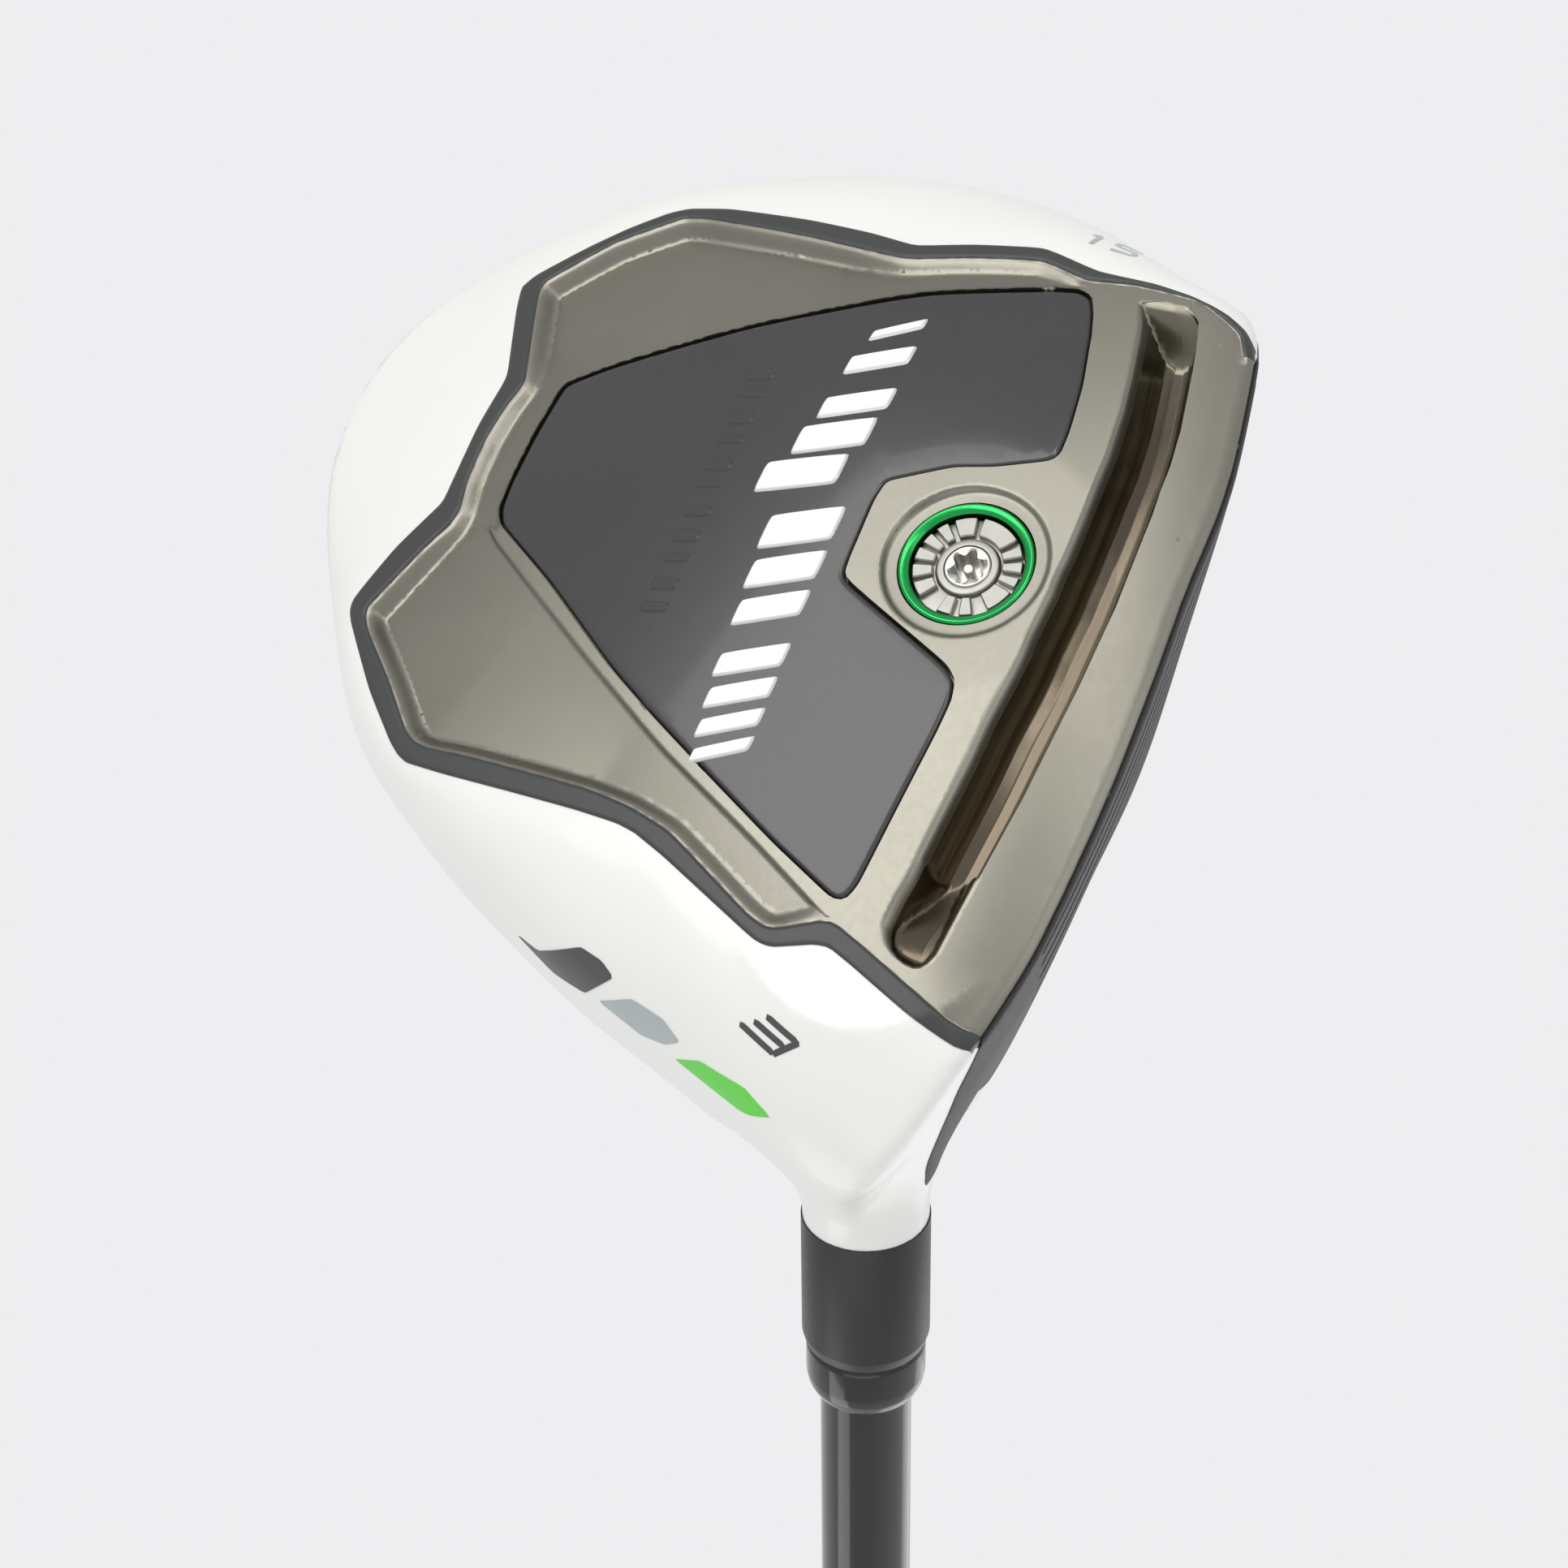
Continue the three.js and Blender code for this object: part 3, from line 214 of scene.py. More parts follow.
# ------------------------------------------------------------------ object helpers
ALL = []
def make(name, V, F, mats, slot, body_="club", replaces=(), face_mat=None, sharp=30):
    me = bpy.data.meshes.new(name)
    me.from_pydata([tuple(v) for v in (np.asarray(V)/1000.0).tolist()], [], [tuple(int(i) for i in f) for f in F])
    me.validate(); me.update()
    o = bpy.data.objects.new(name, me); bpy.context.scene.collection.objects.link(o)
    for m in (mats if isinstance(mats, (list, tuple)) else [mats]): me.materials.append(m)
    if face_mat is not None and len(face_mat) == len(me.polygons): me.polygons.foreach_set("material_index", np.asarray(face_mat, dtype=np.int32))
    me.polygons.foreach_set("use_smooth", [True]*len(me.polygons))
    me.set_sharp_from_angle(angle=math.radians(sharp))
    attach(o, body_)
    if replaces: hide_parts(*replaces)
    ALL.append(o)
    return o
def lathe(prof, n, frame_fn, disp=None):
    """Closed solid of revolution. prof: (r, h) points; a first and last r of 0 close the ends, otherwise the profile is a closed loop."""
    prof = [tuple(p) for p in prof]; loop = not (prof[0][0] < 1e-6 and prof[-1][0] < 1e-6)
    ar = 0
    pts = prof if loop else prof
    for i in range(len(pts)):
        a, b = pts[i], pts[(i+1) % len(pts)]; ar += a[0]*b[1]-b[0]*a[1]
    if ar < 0: prof = prof[::-1]
    V, F, idx = [], [], []
    for r, h in prof:
        if r < 1e-6: idx.append([len(V)]*n); V.append((0, 0, h))
        else:
            idx.append(list(range(len(V), len(V)+n)))
            for k in range(n):
                a = 2*math.pi*k/n; rr = r+(disp(r, h, a) if disp else 0); V.append((rr*math.cos(a), rr*math.sin(a), h))
    m = len(prof)
    for i in range(m if loop else m-1):
        A, B = idx[i], idx[(i+1) % m]
        for k in range(n):
            l = (k+1) % n; q = [A[k], A[l], B[l], B[k]]
            q = [q[j] for j in range(4) if q[j] != q[j-1]]
            if len(q) >= 3: F.append(tuple(q))
    return frame_fn(np.array(V)), F
def on_shaft(V):
    x, y, q = V.T
    return np.c_[AX0[0]+x*SA+q*CA, AX0[1]+y, -x*CA+q*SA]
def on_port(V): return V+np.array([PORT[0], PORT[1], 0.0])
def rounded(prof, r=0.15, n=3):
    """Rounds the corners of a closed profile."""
    P = [np.array(p, float) for p in prof]; out = []
    for i in range(len(P)):
        a, b, c = P[i-1], P[i], P[(i+1) % len(P)]
        if b[0] < 1e-6: out.append(tuple(b)); continue
        u, w = a-b, c-b; lu, lw = np.linalg.norm(u), np.linalg.norm(w); d = min(r, lu*0.45, lw*0.45)
        p, q = b+u/lu*d, b+w/lw*d
        for k in range(n+1):
            t = k/n; out.append(tuple((1-t)**2*p+2*t*(1-t)*b+t*t*q))
    return out

# ------------------------------------------------------------------ materials
def mat(name, col, rough=0.4, metal=0.0, coat=0.0, noise=0.0, nscale=900, bump=0.0, bscale=1500, rvar=0.05, spec=0.5, coat_rough=0.05, dark=None, dscale=60):
    m = bpy.data.materials.new(name); m.use_nodes = True; t = m.node_tree; N = t.nodes; L = t.links
    b = N["Principled BSDF"]; b.inputs["Base Color"].default_value = (*col, 1); b.inputs["Metallic"].default_value = metal
    b.inputs["Roughness"].default_value = rough; b.inputs["Coat Weight"].default_value = coat; b.inputs["Coat Roughness"].default_value = coat_rough
    b.inputs["Specular IOR Level"].default_value = spec
    tc = N.new("ShaderNodeTexCoord")
    def nz(scale, detail=4):
        n = N.new("ShaderNodeTexNoise"); n.inputs["Scale"].default_value = scale; n.inputs["Detail"].default_value = detail; L.new(tc.outputs["Object"], n.inputs["Vector"]); return n
    a = nz(nscale); c = nz(dscale, 3)
    mr = N.new("ShaderNodeMapRange"); mr.inputs["To Min"].default_value = max(0.0, rough-rvar); mr.inputs["To Max"].default_value = rough+rvar
    L.new(a.outputs["Fac"], mr.inputs["Value"]); L.new(mr.outputs["Result"], b.inputs["Roughness"])
    mx = N.new("ShaderNodeMixRGB"); mx.inputs["Color1"].default_value = (*[v*(1-noise) for v in col], 1); mx.inputs["Color2"].default_value = (*[min(1, v*(1+noise)) for v in col], 1)
    L.new(c.outputs["Fac"], mx.inputs["Fac"]); L.new(mx.outputs["Color"], b.inputs["Base Color"])
    if bump:
        d = nz(bscale, 2); bp = N.new("ShaderNodeBump"); bp.inputs["Strength"].default_value = bump; bp.inputs["Distance"].default_value = 0.00005
        L.new(d.outputs["Fac"], bp.inputs["Height"]); L.new(bp.outputs["Normal"], b.inputs["Normal"])
    return m
M_WHITE = mat("white_paint", (0.80, 0.81, 0.775), 0.34, 0, 0.22, 0.02, 300, 0.03, 700, 0.03)
M_NICKEL = mat("satin_nickel", (0.26, 0.25, 0.212), 0.36, 1.0, 0, 0.05, 1400, 0.10, 5200, 0.05, dscale=120)
M_BAND = mat("dark_band", (0.046, 0.048, 0.048), 0.42, 0.2, 0, 0.08, 1500, 0.12, 4200, 0.06)
# painted shade: the nickel inside the deep sole channel is drawn darker, standing in for the shade that falls in the
# groove
M_SHADED_CHANNEL = mat("painted_shade_channel", (0.115, 0.095, 0.070), 0.20, 1.0, 0, 0.12, 700, 0.05, 2600, 0.06)
# painted light: a lighter copy of the channel colour on the channel's front wall, standing in for the light that falls
# on that wall
M_LIT_CHANNEL_WALL = mat("painted_light_channel_wall", (0.165, 0.145, 0.105), 0.33, 1.0, 0, 0.10, 900, 0.06, 3600, 0.06)
def along_x(m, col, x0, x1):
    t = m.node_tree; b = t.nodes["Principled BSDF"]; src = b.inputs["Base Color"].links[0].from_socket
    tc = t.nodes.new("ShaderNodeTexCoord"); sp = t.nodes.new("ShaderNodeSeparateXYZ"); mr = t.nodes.new("ShaderNodeMapRange"); mx = t.nodes.new("ShaderNodeMixRGB")
    mr.inputs["From Min"].default_value = x0/1000; mr.inputs["From Max"].default_value = x1/1000
    t.links.new(tc.outputs["Object"], sp.inputs[0]); t.links.new(sp.outputs["X"], mr.inputs["Value"]); t.links.new(mr.outputs["Result"], mx.inputs["Fac"])
    mx.inputs["Color1"].default_value = (*col, 1); t.links.new(src, mx.inputs["Color2"]); t.links.new(mx.outputs["Color"], b.inputs["Base Color"])
# painted light: both channel colours blend to a lighter tone towards the shallow toe end (x -43.5 to -31 mm), where the
# groove is less shaded
along_x(M_SHADED_CHANNEL, (0.19, 0.18, 0.14), -43.5, -31.0); along_x(M_LIT_CHANNEL_WALL, (0.20, 0.19, 0.15), -43.5, -31.0)
M_PANEL = mat("panel_gloss", (0.046, 0.045, 0.045), 0.22, 0.2, 0.25, 0.06, 700, 0.02, 2400, 0.04)
M_PANEL2 = mat("panel_inner", (0.048, 0.048, 0.052), 0.20, 0.35, 0.5, 0.06, 700, 0.02, 2400, 0.04)
M_EMBOSS = mat("panel_emboss", (0.040, 0.040, 0.042), 0.16, 0.3, 0.7, 0.05, 700, 0.02)
M_MARK = mat("mark_white", (0.83, 0.84, 0.83), 0.25, 0, 0.4, 0.02, 500, 0.03)
M_GREEN = mat("mark_green", (0.095, 0.60, 0.035), 0.30, 0, 0.4, 0.04, 500, 0.03)
M_ANOD = mat("green_anodised", (0.010, 0.36, 0.075), 0.22, 0.85, 0.35, 0.08, 900, 0.06, 4000)
M_SILVER = mat("cast_silver", (0.36, 0.355, 0.325), 0.40, 1.0, 0, 0.05, 1200, 0.12, 4200)
M_SCREW = mat("screw_steel", (0.50, 0.49, 0.46), 0.26, 1.0, 0, 0.06, 1500, 0.06, 5000)
M_STEEL = mat("dark_steel", (0.22, 0.21, 0.20), 0.32, 1.0, 0, 0.06, 1000, 0.06)
M_FACE = mat("face_black", (0.021, 0.021, 0.022), 0.5, 0.0, 0, 0.10, 1600, 0.16, 5200, 0.06, spec=0.3)
M_HBAND = mat("hosel_band", (0.013, 0.013, 0.0135), 0.38, 0.0, 0.0, 0.06, 1200, 0.06)
M_FERR = mat("ferrule_gloss", (0.007, 0.007, 0.0075), 0.12, 0, 0.25, 0.05, 900, 0.01)
M_SHAFT = mat("shaft_gloss", (0.007, 0.007, 0.0075), 0.14, 0, 0.3, 0.06, 900, 0.015, 1400)
M_GRIP = mat("grip_rubber", (0.020, 0.020, 0.021), 0.72, 0, 0, 0.12, 900, 0.35, 2600, 0.06)
M_CAPR = mat("grip_cap", (0.028, 0.028, 0.029), 0.55, 0, 0, 0.10, 900, 0.2, 2200)
M_GREY = mat("mark_grey", (0.38, 0.42, 0.43), 0.3, 0.1, 0.4, 0.03, 500, 0.03)
M_INK = mat("mark_black", (0.050, 0.052, 0.050), 0.3, 0, 0.4, 0.04, 500, 0.03)
M_LINE = mat("score_fill", (0.40, 0.40, 0.39), 0.5, 0.0, 0, 0.1, 900, 0.2)

# ------------------------------------------------------------------ sole patch
BO = chaikin(BAND_OUT[:-1]+[BAND_OUT[-1]], closed=False, n=2, w=0.10)
BI = chaikin(BAND_IN, closed=False, n=2, w=0.10)
toe = [(-34.0,-18.62),(-30.0,-19.05),(-26.0,-19.6)]
front = np.array([BAND_OUT[0]]+toe+LE+[BAND_OUT[-1]], float)
front = resample(chaikin(front, False, 2, 0.22), 0.8)
front[:, 1] -= 1.2*ease((-front[:, 0]-10)/18)*(1-ease((-front[:, 0]-36)/4.2))
# pull the leading edge back onto the surface where the roll turns up
SOLE = np.vstack([resample(BO[::-1], 0.7)[:-1], front[:-1]]); nb = len(SOLE)-len(front)+1
for _ in range(40):
    z, ok = soleRoot(SOLE); nz = unit(grad(head, np.c_[SOLE, z]))
    bad = (~ok) | (nz[:, 2] > -0.10)
    if not bad.any(): break
    SOLE[bad] += unit(np.array([-5.0, 20.0])-SOLE[bad])*0.12
SOLE[nb:nb+3] = SOLE[nb:nb+3]
front = SOLE[nb:]
PAN = resample(chaikin(PANEL, True, 2, 0.12), 0.55, True)
RECESS = offset(PAN, -0.22)
CHN = np.array(CH_REAR+CH_FRONT)
CR = resample(chaikin(CREASE, False, 1, 0.12), 0.5)
UPP = np.array([(-46.5,0.6),(-42.0,0.6),(-25.0,20.0),(-8.0,46.0),(-5.3,49.0),(-4.79,49.91),(-5.25,54.4),(-6.6,58.5)]+BAND_OUT[8:24][::-1], float)
LOWP = np.vstack([CR, np.array([(28.6,0.2)]+BAND_OUT[26:38][::-1]+[(-5.2,57.6),(-5.25,54.4)], float)])
def smooth(t): t = np.clip(t, 0, 1); return t*t*(3-2*t)
CX = np.array([0, .03, .07, .12, .18, .27, .38, .55, .68, .77, .85, .92, .965, 1.0])
CY = np.array([0, .07, .34, 1.0, 2.1, 3.5, 4.4, 4.75, 4.7, 4.45, 3.95, 3.1, 1.9, 0.0])
RE = np.array([(-43.40,-8.57),(-43.18,-6.99)]+CH_REAR); FR = np.array(CH_FRONT[::-1][1:]+[(29.36,-9.32)])
def chan_rims(x):
    a, b = np.interp(x, RE[:, 0], RE[:, 1]), np.interp(x, FR[:, 0], FR[:, 1]); return a, np.minimum(b, a-0.02)
def chan_depth(P):
    yr, yf = chan_rims(P[:, 0])
    h = np.interp(np.clip((yr-P[:, 1])/(yr-yf), 0, 1), CX, CY)
    dt = np.hypot(P[:, 0]+43.4, (P[:, 1]+8.9)*0.4); dh = np.hypot(P[:, 0]-29.3, (P[:, 1]+8.2)*0.35)
    de = dist(np.vstack([CHN, CHN[:1]]), P)
    h = np.minimum(h, np.where(P[:, 0] > 10, 0.9+3.85*smooth((29.0-P[:, 0])/11.0), 99))
    h = np.minimum(h, np.where(P[:, 0] < -30, smooth(np.maximum(0, P[:, 0]+43.3)/5.0)*4.7+0.05, 99))
    return np.minimum(h, np.where(P[:, 0] > 19, 4.7*smooth(de/3.0), 99))
def height(P):
    dbo = dist(BO, P); dbi = dist(BI, P); inb = inside(np.vstack([BI, front[::-1][:1], front[:1]]), P)
    h = np.zeros(len(P))
    band = ~inside(np.vstack([BI, np.array([(34.0, -30.0), (-41.0, -30.0)])]), P)
    hb = -0.24+0.12*(1-smooth(dbo/0.35))+0.20*(1-smooth(dbi/0.35))
    # pockets
    dp = dist(PAN, P, True); dc = dist(CR, P)
    up = inside(UPP, P) & ~inside(PAN, P); lo = inside(LOWP, P)
    Wb = np.clip((dp+dbi)/8.0, 0.25, 1)
    hu = 1.75*Wb*(0.25+0.75*dp/np.maximum(0.01, dp+dbi)); wall = 1.75*Wb*smooth(dbi/2.1)
    hu = np.minimum(hu, wall)*smooth(dp/0.5)
    Wc = np.clip((dc+dbi)/8.0, 0.2, 1)
    hl = (0.40+1.35*Wc*dc/np.maximum(0.01, dc+dbi))*smooth(dc/0.45); hl = np.minimum(hl, 1.8*Wc*smooth(dbi/2.1)+0.02)
    h = np.where(up, hu, h); h = np.where(lo, hl, h)
    # no faint line beside the panel: the next step leaves the height unchanged
    h = np.where(~band & ~up & ~lo, h, h)
    yr, yf = chan_rims(P[:, 0]); inch = (P[:, 0] > -43.38) & (P[:, 0] < 29.3) & (P[:, 1] < yr) & (P[:, 1] > yf); h = np.where(inch, chan_depth(P), h)
    rec = inside(RECESS, P); h = np.where(rec & ~inch, 1.35*smooth(dist(RECESS, P, True)/0.12), h)
    r = np.hypot(P[:, 0]-PORT[0], P[:, 1]-PORT[1])
    hp = np.interp(r, [0, 6.70, 6.72, 7.40, 7.55, 7.68, 7.80, 7.92, 8.05, 8.2, 8.4], [8.3, 8.3, 0.70, 0.68, 0.67, 0.66, 0.62, 0.52, .30, .06, 0.0]); side = 0.5-0.5*np.clip(((P[:, 0]-PORT[0])*0.35-(P[:, 1]-PORT[1])*0.94)/np.maximum(r, 1e-6), -1, 1); h = np.where(r < 8.45, np.where(r < 6.71, hp, hp*(0.45+0.55*side)), h)
    h = np.where(band, hb, h)-np.where(band, 0, 0.12*(1-smooth(dist(front, P)/1.6)))
    return h, dict(band=band, up=up, lo=lo, ch=inch, rec=rec, r=r)
def ring(r, n): return [(PORT[0]+r*math.cos(2*math.pi*k/n), PORT[1]+r*math.sin(2*math.pi*k/n)) for k in range(n)]
lines = [(resample(BI, 0.6), False)]+[(resample(offset(BI, s_, False), 0.6), False) for s_ in (0.12, 0.25, 0.4, 0.6, -0.12, -0.25, -0.4, -0.6, -0.9, -1.3, -1.7, -2.1, -2.5)]
lines += [(RECESS, True), (offset(RECESS, 0.13), True), (offset(RECESS, -0.18), True), (offset(RECESS, -0.5), True)]
lines += [(CR, False)]+[(offset(CR, s_, False), False) for s_ in (0.1, 0.22, 0.34, 0.46, 0.64, 0.9, -0.2, -0.45)]
xs_ = np.r_[-43.38, -43.2, -42.9, np.arange(-42.5, 28.4, 0.5), 28.6, 28.9, 29.1, 29.25]; yr_, yf_ = chan_rims(xs_)
US = np.unique(np.r_[CX, np.linspace(0.03, 0.97, 26)])
lines += [(np.c_[xs_, yr_+(yf_-yr_)*u_], False) for u_ in US]
lines += [(np.c_[xs_, yr_+0.3], False), (np.c_[xs_, yf_-0.3], False)]
lines += [(ring(r, n), True) for r, n in [(v_, 110) for v_ in (6.70, 6.74, 6.95, 7.2, 7.40, 7.55, 7.68, 7.80, 7.92, 8.05, 8.2, 8.4, 8.65)]]
lines += [(offset(SOLE, s_), True) for s_ in (0.12, 0.24, 0.36, 0.55)]+[(resample(offset(front, s_, False), 0.8)[3:-3], False) for s_ in (0.9, 1.4, 2.2, 3.0)]
gx, gy = np.meshgrid(np.arange(-47.5, 36, 0.75), np.arange(-21.5, 63, 0.75)); G = np.c_[gx.ravel(), gy.ravel()]
rng = np.random.default_rng(7); G = G+rng.uniform(-0.12, 0.12, G.shape)
G = G[inside(SOLE, G) & (dist(SOLE, G, True) > 0.4) & ~inside(CHN, G)]
v2, tri = cdt(SOLE, (), [(L, c) for L, c in lines], G)
print("sole patch", len(v2), len(tri))
z0, okz = soleRoot(v2); h, reg = height(v2)
top = np.c_[v2, z0+h]; bot = np.c_[v2, z0+np.maximum(h, 0)+1.1+0.0*h]
C = v2[tri].mean(1); hC, rC = height(C)
yr_, yf_ = chan_rims(C[:, 0]); uC = (yr_-C[:, 1])/(yr_-yf_)
# material 2 is the painted shade inside the channel, material 3 the painted light on its front wall; the rear lip stays
# plain nickel
fm = np.where(rC["band"], 1, np.where(rC["ch"] & (uC > 0.15) & (uC < 0.975), np.where(uC > 0.68, 3, 2), 0))
V, F = slab(top, bot, tri, flip=True)
nt = len(tri); fmat = list(fm)+list(fm)+[0]*(len(F)-2*nt)
make("sole_plate", V, F, [M_NICKEL, M_BAND, M_SHADED_CHANNEL, M_LIT_CHANNEL_WALL], "nickel_steel", "club", ("body_casting", "channel_insert"), fmat, sharp=76)

# ------------------------------------------------------------------ glossy sole panel and its marks
def h_at(P, h): z, _ = soleRoot(P); return z+h
PIN = offset(PAN, 0.0)
INNER = np.array([(-11.2,38.0),(4.1,30.4),(11.3,22.0),(20.5,6.5),(22.0,1.0),(8.0,-2.0),(2.5,-1.5),(-4.5,12.6),(-20.0,12.2),(-34.5,12.5),(-36.0,17.0),(-26.0,40.0),(-16.0,44.5)])
INNER = resample(chaikin(INNER, True, 3, 0.25), 0.8, True)
pl = [(resample(offset(PAN, s), 0.6, True), True) for s in (0.15, 0.35, 0.6)]
G = np.c_[[a.ravel() for a in np.meshgrid(np.arange(-43, 26, 1.1), np.arange(-6, 51, 1.1))]].T
G = G[inside(PAN, G) & (dist(PAN, G, True) > 0.8)]+0.017
v2, tri = cdt(PAN, (), pl, G)
dp = dist(PAN, v2, True); ins = inside(INNER, v2); di = dist(INNER, v2, True)
hp = 0.16+0.28*(1-np.sqrt(np.clip(1-(1-np.clip(dp/0.6, 0, 1))**2, 0, 1)))
z, _ = soleRoot(v2)
C = v2[tri].mean(1)
V, F = slab(np.c_[v2, z+hp], np.c_[v2, z+1.30], tri, flip=True)
fm = None
make("sole_panel_inlay", V, F, [M_PANEL, M_PANEL2], "panel_gloss", "club", ("sole_panel", "panel_adhesive"), fm, sharp=80)

def relief(name, poly, h_top, h_bot, m, slot, bev=0.16, rnd=0.10):
    P = resample(chaikin(poly, True, 2, rnd), 0.35, True)
    v, t = cdt(P, (), [(offset(P, bev), True)])
    d = dist(P, v, True); z, _ = soleRoot(v)
    ht = h_top+(0.6*(h_bot-h_top))*(1-smooth(d/bev))
    V, F = slab(np.c_[v, z+ht], np.c_[v, z+h_bot], t, flip=True)
    return make(name, V, F, m, slot, "club", (), None, 40)
bars = [(-36.2,-34.8,13.8,18.8),(-32.8,-30.4,13.6,19.8),(-27.6,-24.9,13.6,20.4),(-23.9,-20.4,14.2,21.4),(-19.3,-15.6,15.4,23.4),(-13.6,-9.6,13.4,20.6),(-8.6,-5.2,13.4,20.3),(-4.2,-1.2,13.4,20.0),(1.6,4.3,13.2,19.8),(5.2,7.6,13.2,19.5),(8.5,10.6,13.2,19.2),(11.5,13.2,13.2,18.8)]
for i, (x0, x1, y0, y1) in enumerate(bars):
    s = 2.6
    relief("panel_bar_%02d" % (i+1), [(x0, y0), (x1, y0+0.15), (x1+s, y1+0.15), (x0+s, y1)], -0.14, 0.32, M_MARK, "white_paint", 0.22, 0.06)
for i in range(11):
    x = -27.5+2.75*i; w = [1.7, 1.1, 1.6, 1.2, 1.7, 0.9, 1.5, 1.7, 1.2, 1.6, 1.3][i]; y = 28.2+0.03*i
    relief("panel_dash_%02d" % (i+1), [(x, y-1.5), (x+w, y-1.4), (x+w+0.4, y+1.6), (x+0.4, y+1.5)], 0.0, 0.34, M_EMBOSS, "panel_gloss", 0.20, 0.16)

# ------------------------------------------------------------------ weight port
make("port_cup_ring", *lathe(rounded([(5.55,0.75),(5.9,0.42),(6.35,0.30),(6.62,0.55),(6.62,8.2),(2.3,8.2),(2.3,7.45),(6.0,7.45),(6.0,1.5)], 0.12), 128, on_port), M_ANOD, "green_anodised", "club", ("weight_port_cup", "port_gasket"), None, 35)
make("weight_disc", *lathe(rounded([(2.55,1.62),(5.45,1.62),(5.45,3.1),(2.55,3.1)], 0.12), 128, on_port), M_SILVER, "silver_metal", "weight", ("weight_cap", "weight_core", "screw_clip"), None, 35)
make("weight_hub", *lathe(rounded([(2.30,1.05),(2.95,1.10),(3.2,1.5),(3.15,2.4),(2.38,2.4)], 0.10), 96, on_port), M_SILVER, "silver_metal", "weight", (), None, 35)
make("weight_slug", *lathe(rounded([(2.38,3.15),(5.4,3.15),(5.4,5.6),(3.3,6.5),(2.38,6.5)], 0.15), 96, on_port), M_STEEL, "dark_steel", "weight", (), None, 35)
def wedge(name, a0, a1, r0, r1, z0, z1, m, taper=0.0):
    n = 10
    o = [(r1*math.cos(a0+(a1-a0)*k/n), r1*math.sin(a0+(a1-a0)*k/n)) for k in range(n+1)]+[(r0*math.cos(a1+taper-(a1-a0+2*taper)*k/n), r0*math.sin(a1+taper-(a1-a0+2*taper)*k/n)) for k in range(n+1)]
    o = resample(chaikin(o, True, 1, 0.2), 0.25, True); v, t = cdt(o, (), [(offset(o, 0.12), True)])
    d = dist(o, v, True); top = np.c_[v, z0+0.14*(1-smooth(d/0.12))]; bot = np.c_[v, np.full(len(v), z1)]
    V, F = slab(top, bot, t, flip=True); make(name, on_port(V), F, m, "silver_metal", "weight", (), None, 40)
def seen(deg):
    d = math.radians(deg); dx, dy = math.cos(d), math.sin(d); return math.atan2(-0.86*dx-0.363*dy, -0.228*dx+0.902*dy)
for k, (a, b) in enumerate([(290,333),(339,351),(356,369),(374,387),(393,428),(446,462),(470,486),(508,524),(529,544),(549,565),(570,586),(592,609),(616,644)]):
    a0, a1 = seen(a), seen(b); a0, a1 = (a1, a0) if (a1-a0) % (2*math.pi) > math.pi else (a0, a1); a1 = a0+((a1-a0) % (2*math.pi))
    wedge("weight_rib_%02d" % (k+1), a0, a1, 3.35, 5.36, 0.98, 1.75, M_SILVER)
lob = lambda r, h, a: (0.27*math.cos(6*a) if abs(r-1.58) < 1e-6 else 0)
make("screw_head", *lathe([(0, 2.85), (1.58, 2.85), (1.58, 1.12), (1.95, 0.99), (2.12, 1.0), (2.25, 1.12), (2.25, 3.3), (1.9, 3.45), (1.9, 15.6), (1.5, 16.1), (0, 16.1)], 144, on_port, lob), M_SCREW, "screw_steel", "screw", ("weight_screw",), None, 35)
make("screw_pin", *lathe([(0, 1.45), (0.42, 1.45), (0.52, 1.55), (0.52, 2.95), (0, 2.95)], 48, on_port), M_SCREW, "screw_steel", "screw", (), None, 35)

# ------------------------------------------------------------------ face patch with score lines
zc = 15.0
fl = front.copy(); zf, _ = soleRoot(fl)
kz = np.exp(-0.5*(np.arange(-6, 7)/3.0)**2); kz /= kz.sum()
zf = np.convolve(np.r_[2*zf[0]-zf[6:0:-1], zf, 2*zf[-1]-zf[-2:-8:-1]], kz, 'valid')-0.12
lower = np.c_[fl[:, 0], zf]
def toplimit(ang):
    lo, hi = np.zeros(len(ang)), np.full(len(ang), 60.0)
    for _ in range(24):
        m = (lo+hi)/2; x = m*np.cos(ang); z = zc+m*np.sin(ang)
        v = dome(x, faceY(x, z)+0.1, z); hi = np.where(v > -1.6, m, hi); lo = np.where(v > -1.6, lo, m)
    return np.c_[lo*np.cos(ang), zc+lo*np.sin(ang)]
a_toe = math.atan2(lower[0, 1]-zc, lower[0, 0])+2*math.pi; a_heel = math.atan2(26.9-zc, 41.0)
ups = toplimit(np.linspace(a_heel, a_toe-0.04, 150)); ups[:, 1] = np.minimum(ups[:, 1], 36.9-0.0051*np.maximum(0, ups[:, 0]+5)**2); ups = ups[ups[:, 0] < 41.5]; ups = ups[np.r_[True, np.linalg.norm(np.diff(ups, axis=0), axis=1) > 0.3]]
blob = np.array([(p[0], p[2]) for p in BLOB])
loop = np.vstack([lower, blob, ups])
FACE = resample(chaikin(loop, True, 1, 0.2), 0.8, True)
grooves = [6.5+3.1*k for k in range(9)]
gl = []
for i, zz in enumerate(grooves):
    wx = 21.0 if i < 7 else 18.0-(i-7)*4
    for hw, s in ((wx+2.0, 0.2), (wx+2.25, 0.42)):
        t_ = np.linspace(-hw, hw, int(hw/0.6)); gl.append((np.vstack([np.c_[t_, 0*t_+zz-s], np.c_[t_[::-1], 0*t_+zz+s]]), True))
G = np.c_[[a.ravel() for a in np.meshgrid(np.arange(-50, 50, 1.4), np.arange(0, 45, 1.4))]].T+0.011
G = G[inside(FACE, G) & (dist(FACE, G, True) > 0.5)]
